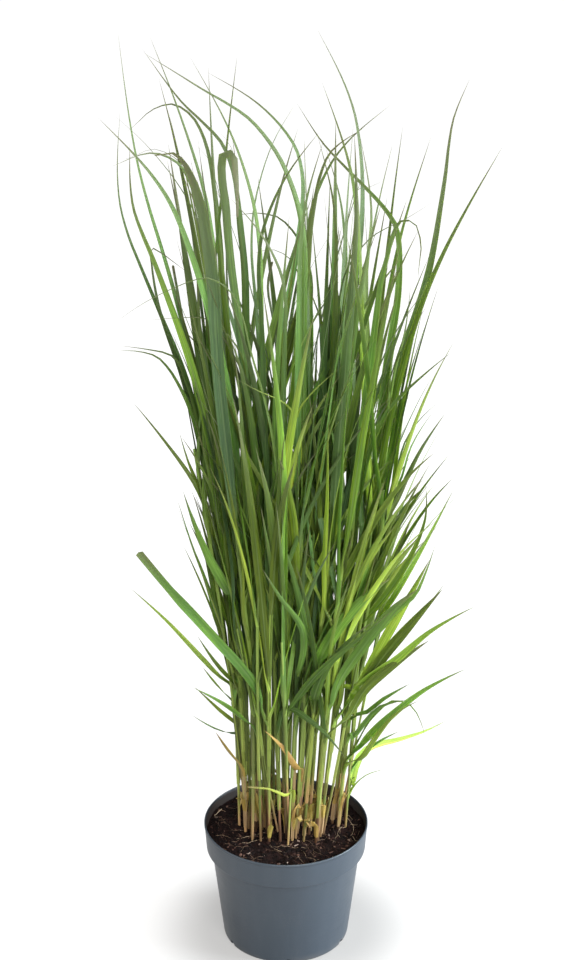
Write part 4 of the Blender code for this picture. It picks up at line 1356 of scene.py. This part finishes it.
def scattered(name, count, makeOne, materials):
    # small pieces are made in batches, which keeps each operator quick, and joined in one mesh
    whole, _ = newClump()
    for done in range(0, count, litter["batch"]):
        bm, layers = newClump()
        for _ in range(min(litter["batch"], count - done)):
            makeOne(bm, layers)
        bmesh.ops.recalc_face_normals(bm, faces=bm.faces[:])
        mesh = bpy.data.meshes.new("batch")
        bm.to_mesh(mesh)
        bm.free()
        whole.from_mesh(mesh)
        bpy.data.meshes.remove(mesh)
    piece = pieceFrom(whole, name, materials)
    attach(piece, "root")


def onCompost(margin):
    reach = (innerRadius(soilTop) - margin) * math.sqrt(luck.random())
    turn = luck.uniform(0, 2 * math.pi)
    x, y = reach * math.cos(turn), reach * math.sin(turn)
    return Vector((x, y, compostHeight(x, y)))


def markAll(verts, layers, own):
    for vert in verts:
        vert[layers["own"]] = own


def placed(bm, verts, size, place):
    turn = Vector([luck.uniform(-1, 1) for _ in range(3)]).to_track_quat("Z", "Y").to_matrix()
    bmesh.ops.scale(bm, verts=verts, vec=size)
    bmesh.ops.rotate(bm, verts=verts, matrix=turn)
    bmesh.ops.translate(bm, verts=verts, vec=place)


def crumb(bm, layers):
    size = luck.uniform(*litter["crumbSize"]) * luck.choice((0.6, 0.8, 1.0, 1.0, 1.3))
    verts = bmesh.ops.create_icosphere(bm, subdivisions=1, radius=1.0)["verts"]
    for vert in verts:
        vert.co *= luck.uniform(0.7, 1.25)
    markAll(verts, layers, luck.random() ** 1.3 * 0.93)
    placed(bm, verts, (size, size * luck.uniform(0.5, 1.0), size * luck.uniform(0.5, 1.0)), onCompost(0.004))


def chip(bm, layers):
    verts = bmesh.ops.create_cube(bm, size=1.0)["verts"]
    for vert in verts:
        vert.co *= luck.uniform(0.65, 1.2)
    markAll(verts, layers, luck.choice(litter["chipShades"]))
    length = luck.uniform(*litter["chipLength"])
    size = (length, length * luck.uniform(0.2, 0.5), length * luck.uniform(0.1, 0.25))
    placed(bm, verts, size, onCompost(0.006))


def lyingFibre(bm, layers, start, heading, length, curl, girth, own):
    # a root or fibre that follows the compost's surface, sinking at both ends
    steps = max(6, int(length / litter["fibreStep"]))
    x, y, points = start[0], start[1], []
    for step in range(steps + 1):
        share = step / steps
        lift = girth + 0.0012 * math.sin(math.pi * share) * luck.uniform(0.6, 1.2) - 0.0004
        points.append((x, y, compostHeight(x, y) + lift))
        heading += curl * length / steps + luck.uniform(-0.12, 0.12)
        x, y = x + math.cos(heading) * length / steps, y + math.sin(heading) * length / steps
        if math.hypot(x, y) > innerRadius(soilTop) - 0.003:
            break
    if len(points) < 4:
        return
    tube(bm, layers, points, girth * np.linspace(1.0, 0.6, len(points)), {"own": own}, litter["fibreSides"])


def fibre(bm, layers):
    start = onCompost(0.006)
    heading, length = luck.uniform(0, 2 * math.pi), luck.uniform(*litter["fibreLength"])
    curl, girth = luck.uniform(*litter["fibreCurl"]), luck.uniform(*litter["fibreGirth"])
    lyingFibre(bm, layers, start, heading, length, curl, girth, luck.random() * litter["fibreShade"])


# start, heading in degrees, length, curl in radians a metre, girth and shade
handSetRoots = [
    ((-0.021, -0.036), -20, 0.046, 12, 0.0003, 0.6),
    ((0.066, 0.022), -30, 0.04, -45, 0.00034, 0.75),
    ((0.07, 0.012), -60, 0.034, 60, 0.0003, 0.7),
    ((0.06, 0.03), 10, 0.026, -70, 0.0003, 0.65),
    ((0.078, -0.006), -110, 0.024, 40, 0.0003, 0.9),
    ((0.072, 0.004), 200, 0.03, 50, 0.00036, 0.8),
    ((-0.06, -0.022), 10, 0.04, -8, 0.00036, 0.75),
    ((-0.052, -0.03), -12, 0.03, 20, 0.0003, 0.7),
    ((-0.074, 0.04), 235, 0.026, 0, 0.00048, 1.0),
    ((-0.045, 0.022), 60, 0.022, 30, 0.00034, 0.8),
    ((0.000, -0.052), 160, 0.028, -30, 0.00028, 0.7),
]


def makeLitter(crumbs, fibres):
    scattered("compost_crumbs", litter["crumbs"], crumb, [crumbs])
    scattered("bark_chips", litter["chips"], chip, [crumbs])
    roots = iter(handSetRoots)

    def rootOrFibre(bm, layers):
        root = next(roots, None)
        if root:
            start, heading, *rest = root
            lyingFibre(bm, layers, start, math.radians(heading), *rest)
        else:
            fibre(bm, layers)

    # a tube asks for the second skin, so both are the fibres' own
    scattered("roots_and_fibres", litter["fibres"], rootOrFibre, [fibres, fibres])


makeStudio()
print("studio ready")
veins, spotted = parallelVeins(), specks()
plantSkins = [leafSkin(veins), stemSkin(veins)]
shoots = makeShoots(plantSkins)
print("shoots grown")
makeSideLeaves(shoots, plantSkins)
print("side leaves grown")
makePot(moulded(spotted))
makeCompost(compostSkin())
makeLitter(crumbSkin(), fibreSkin())
print("pot filled")
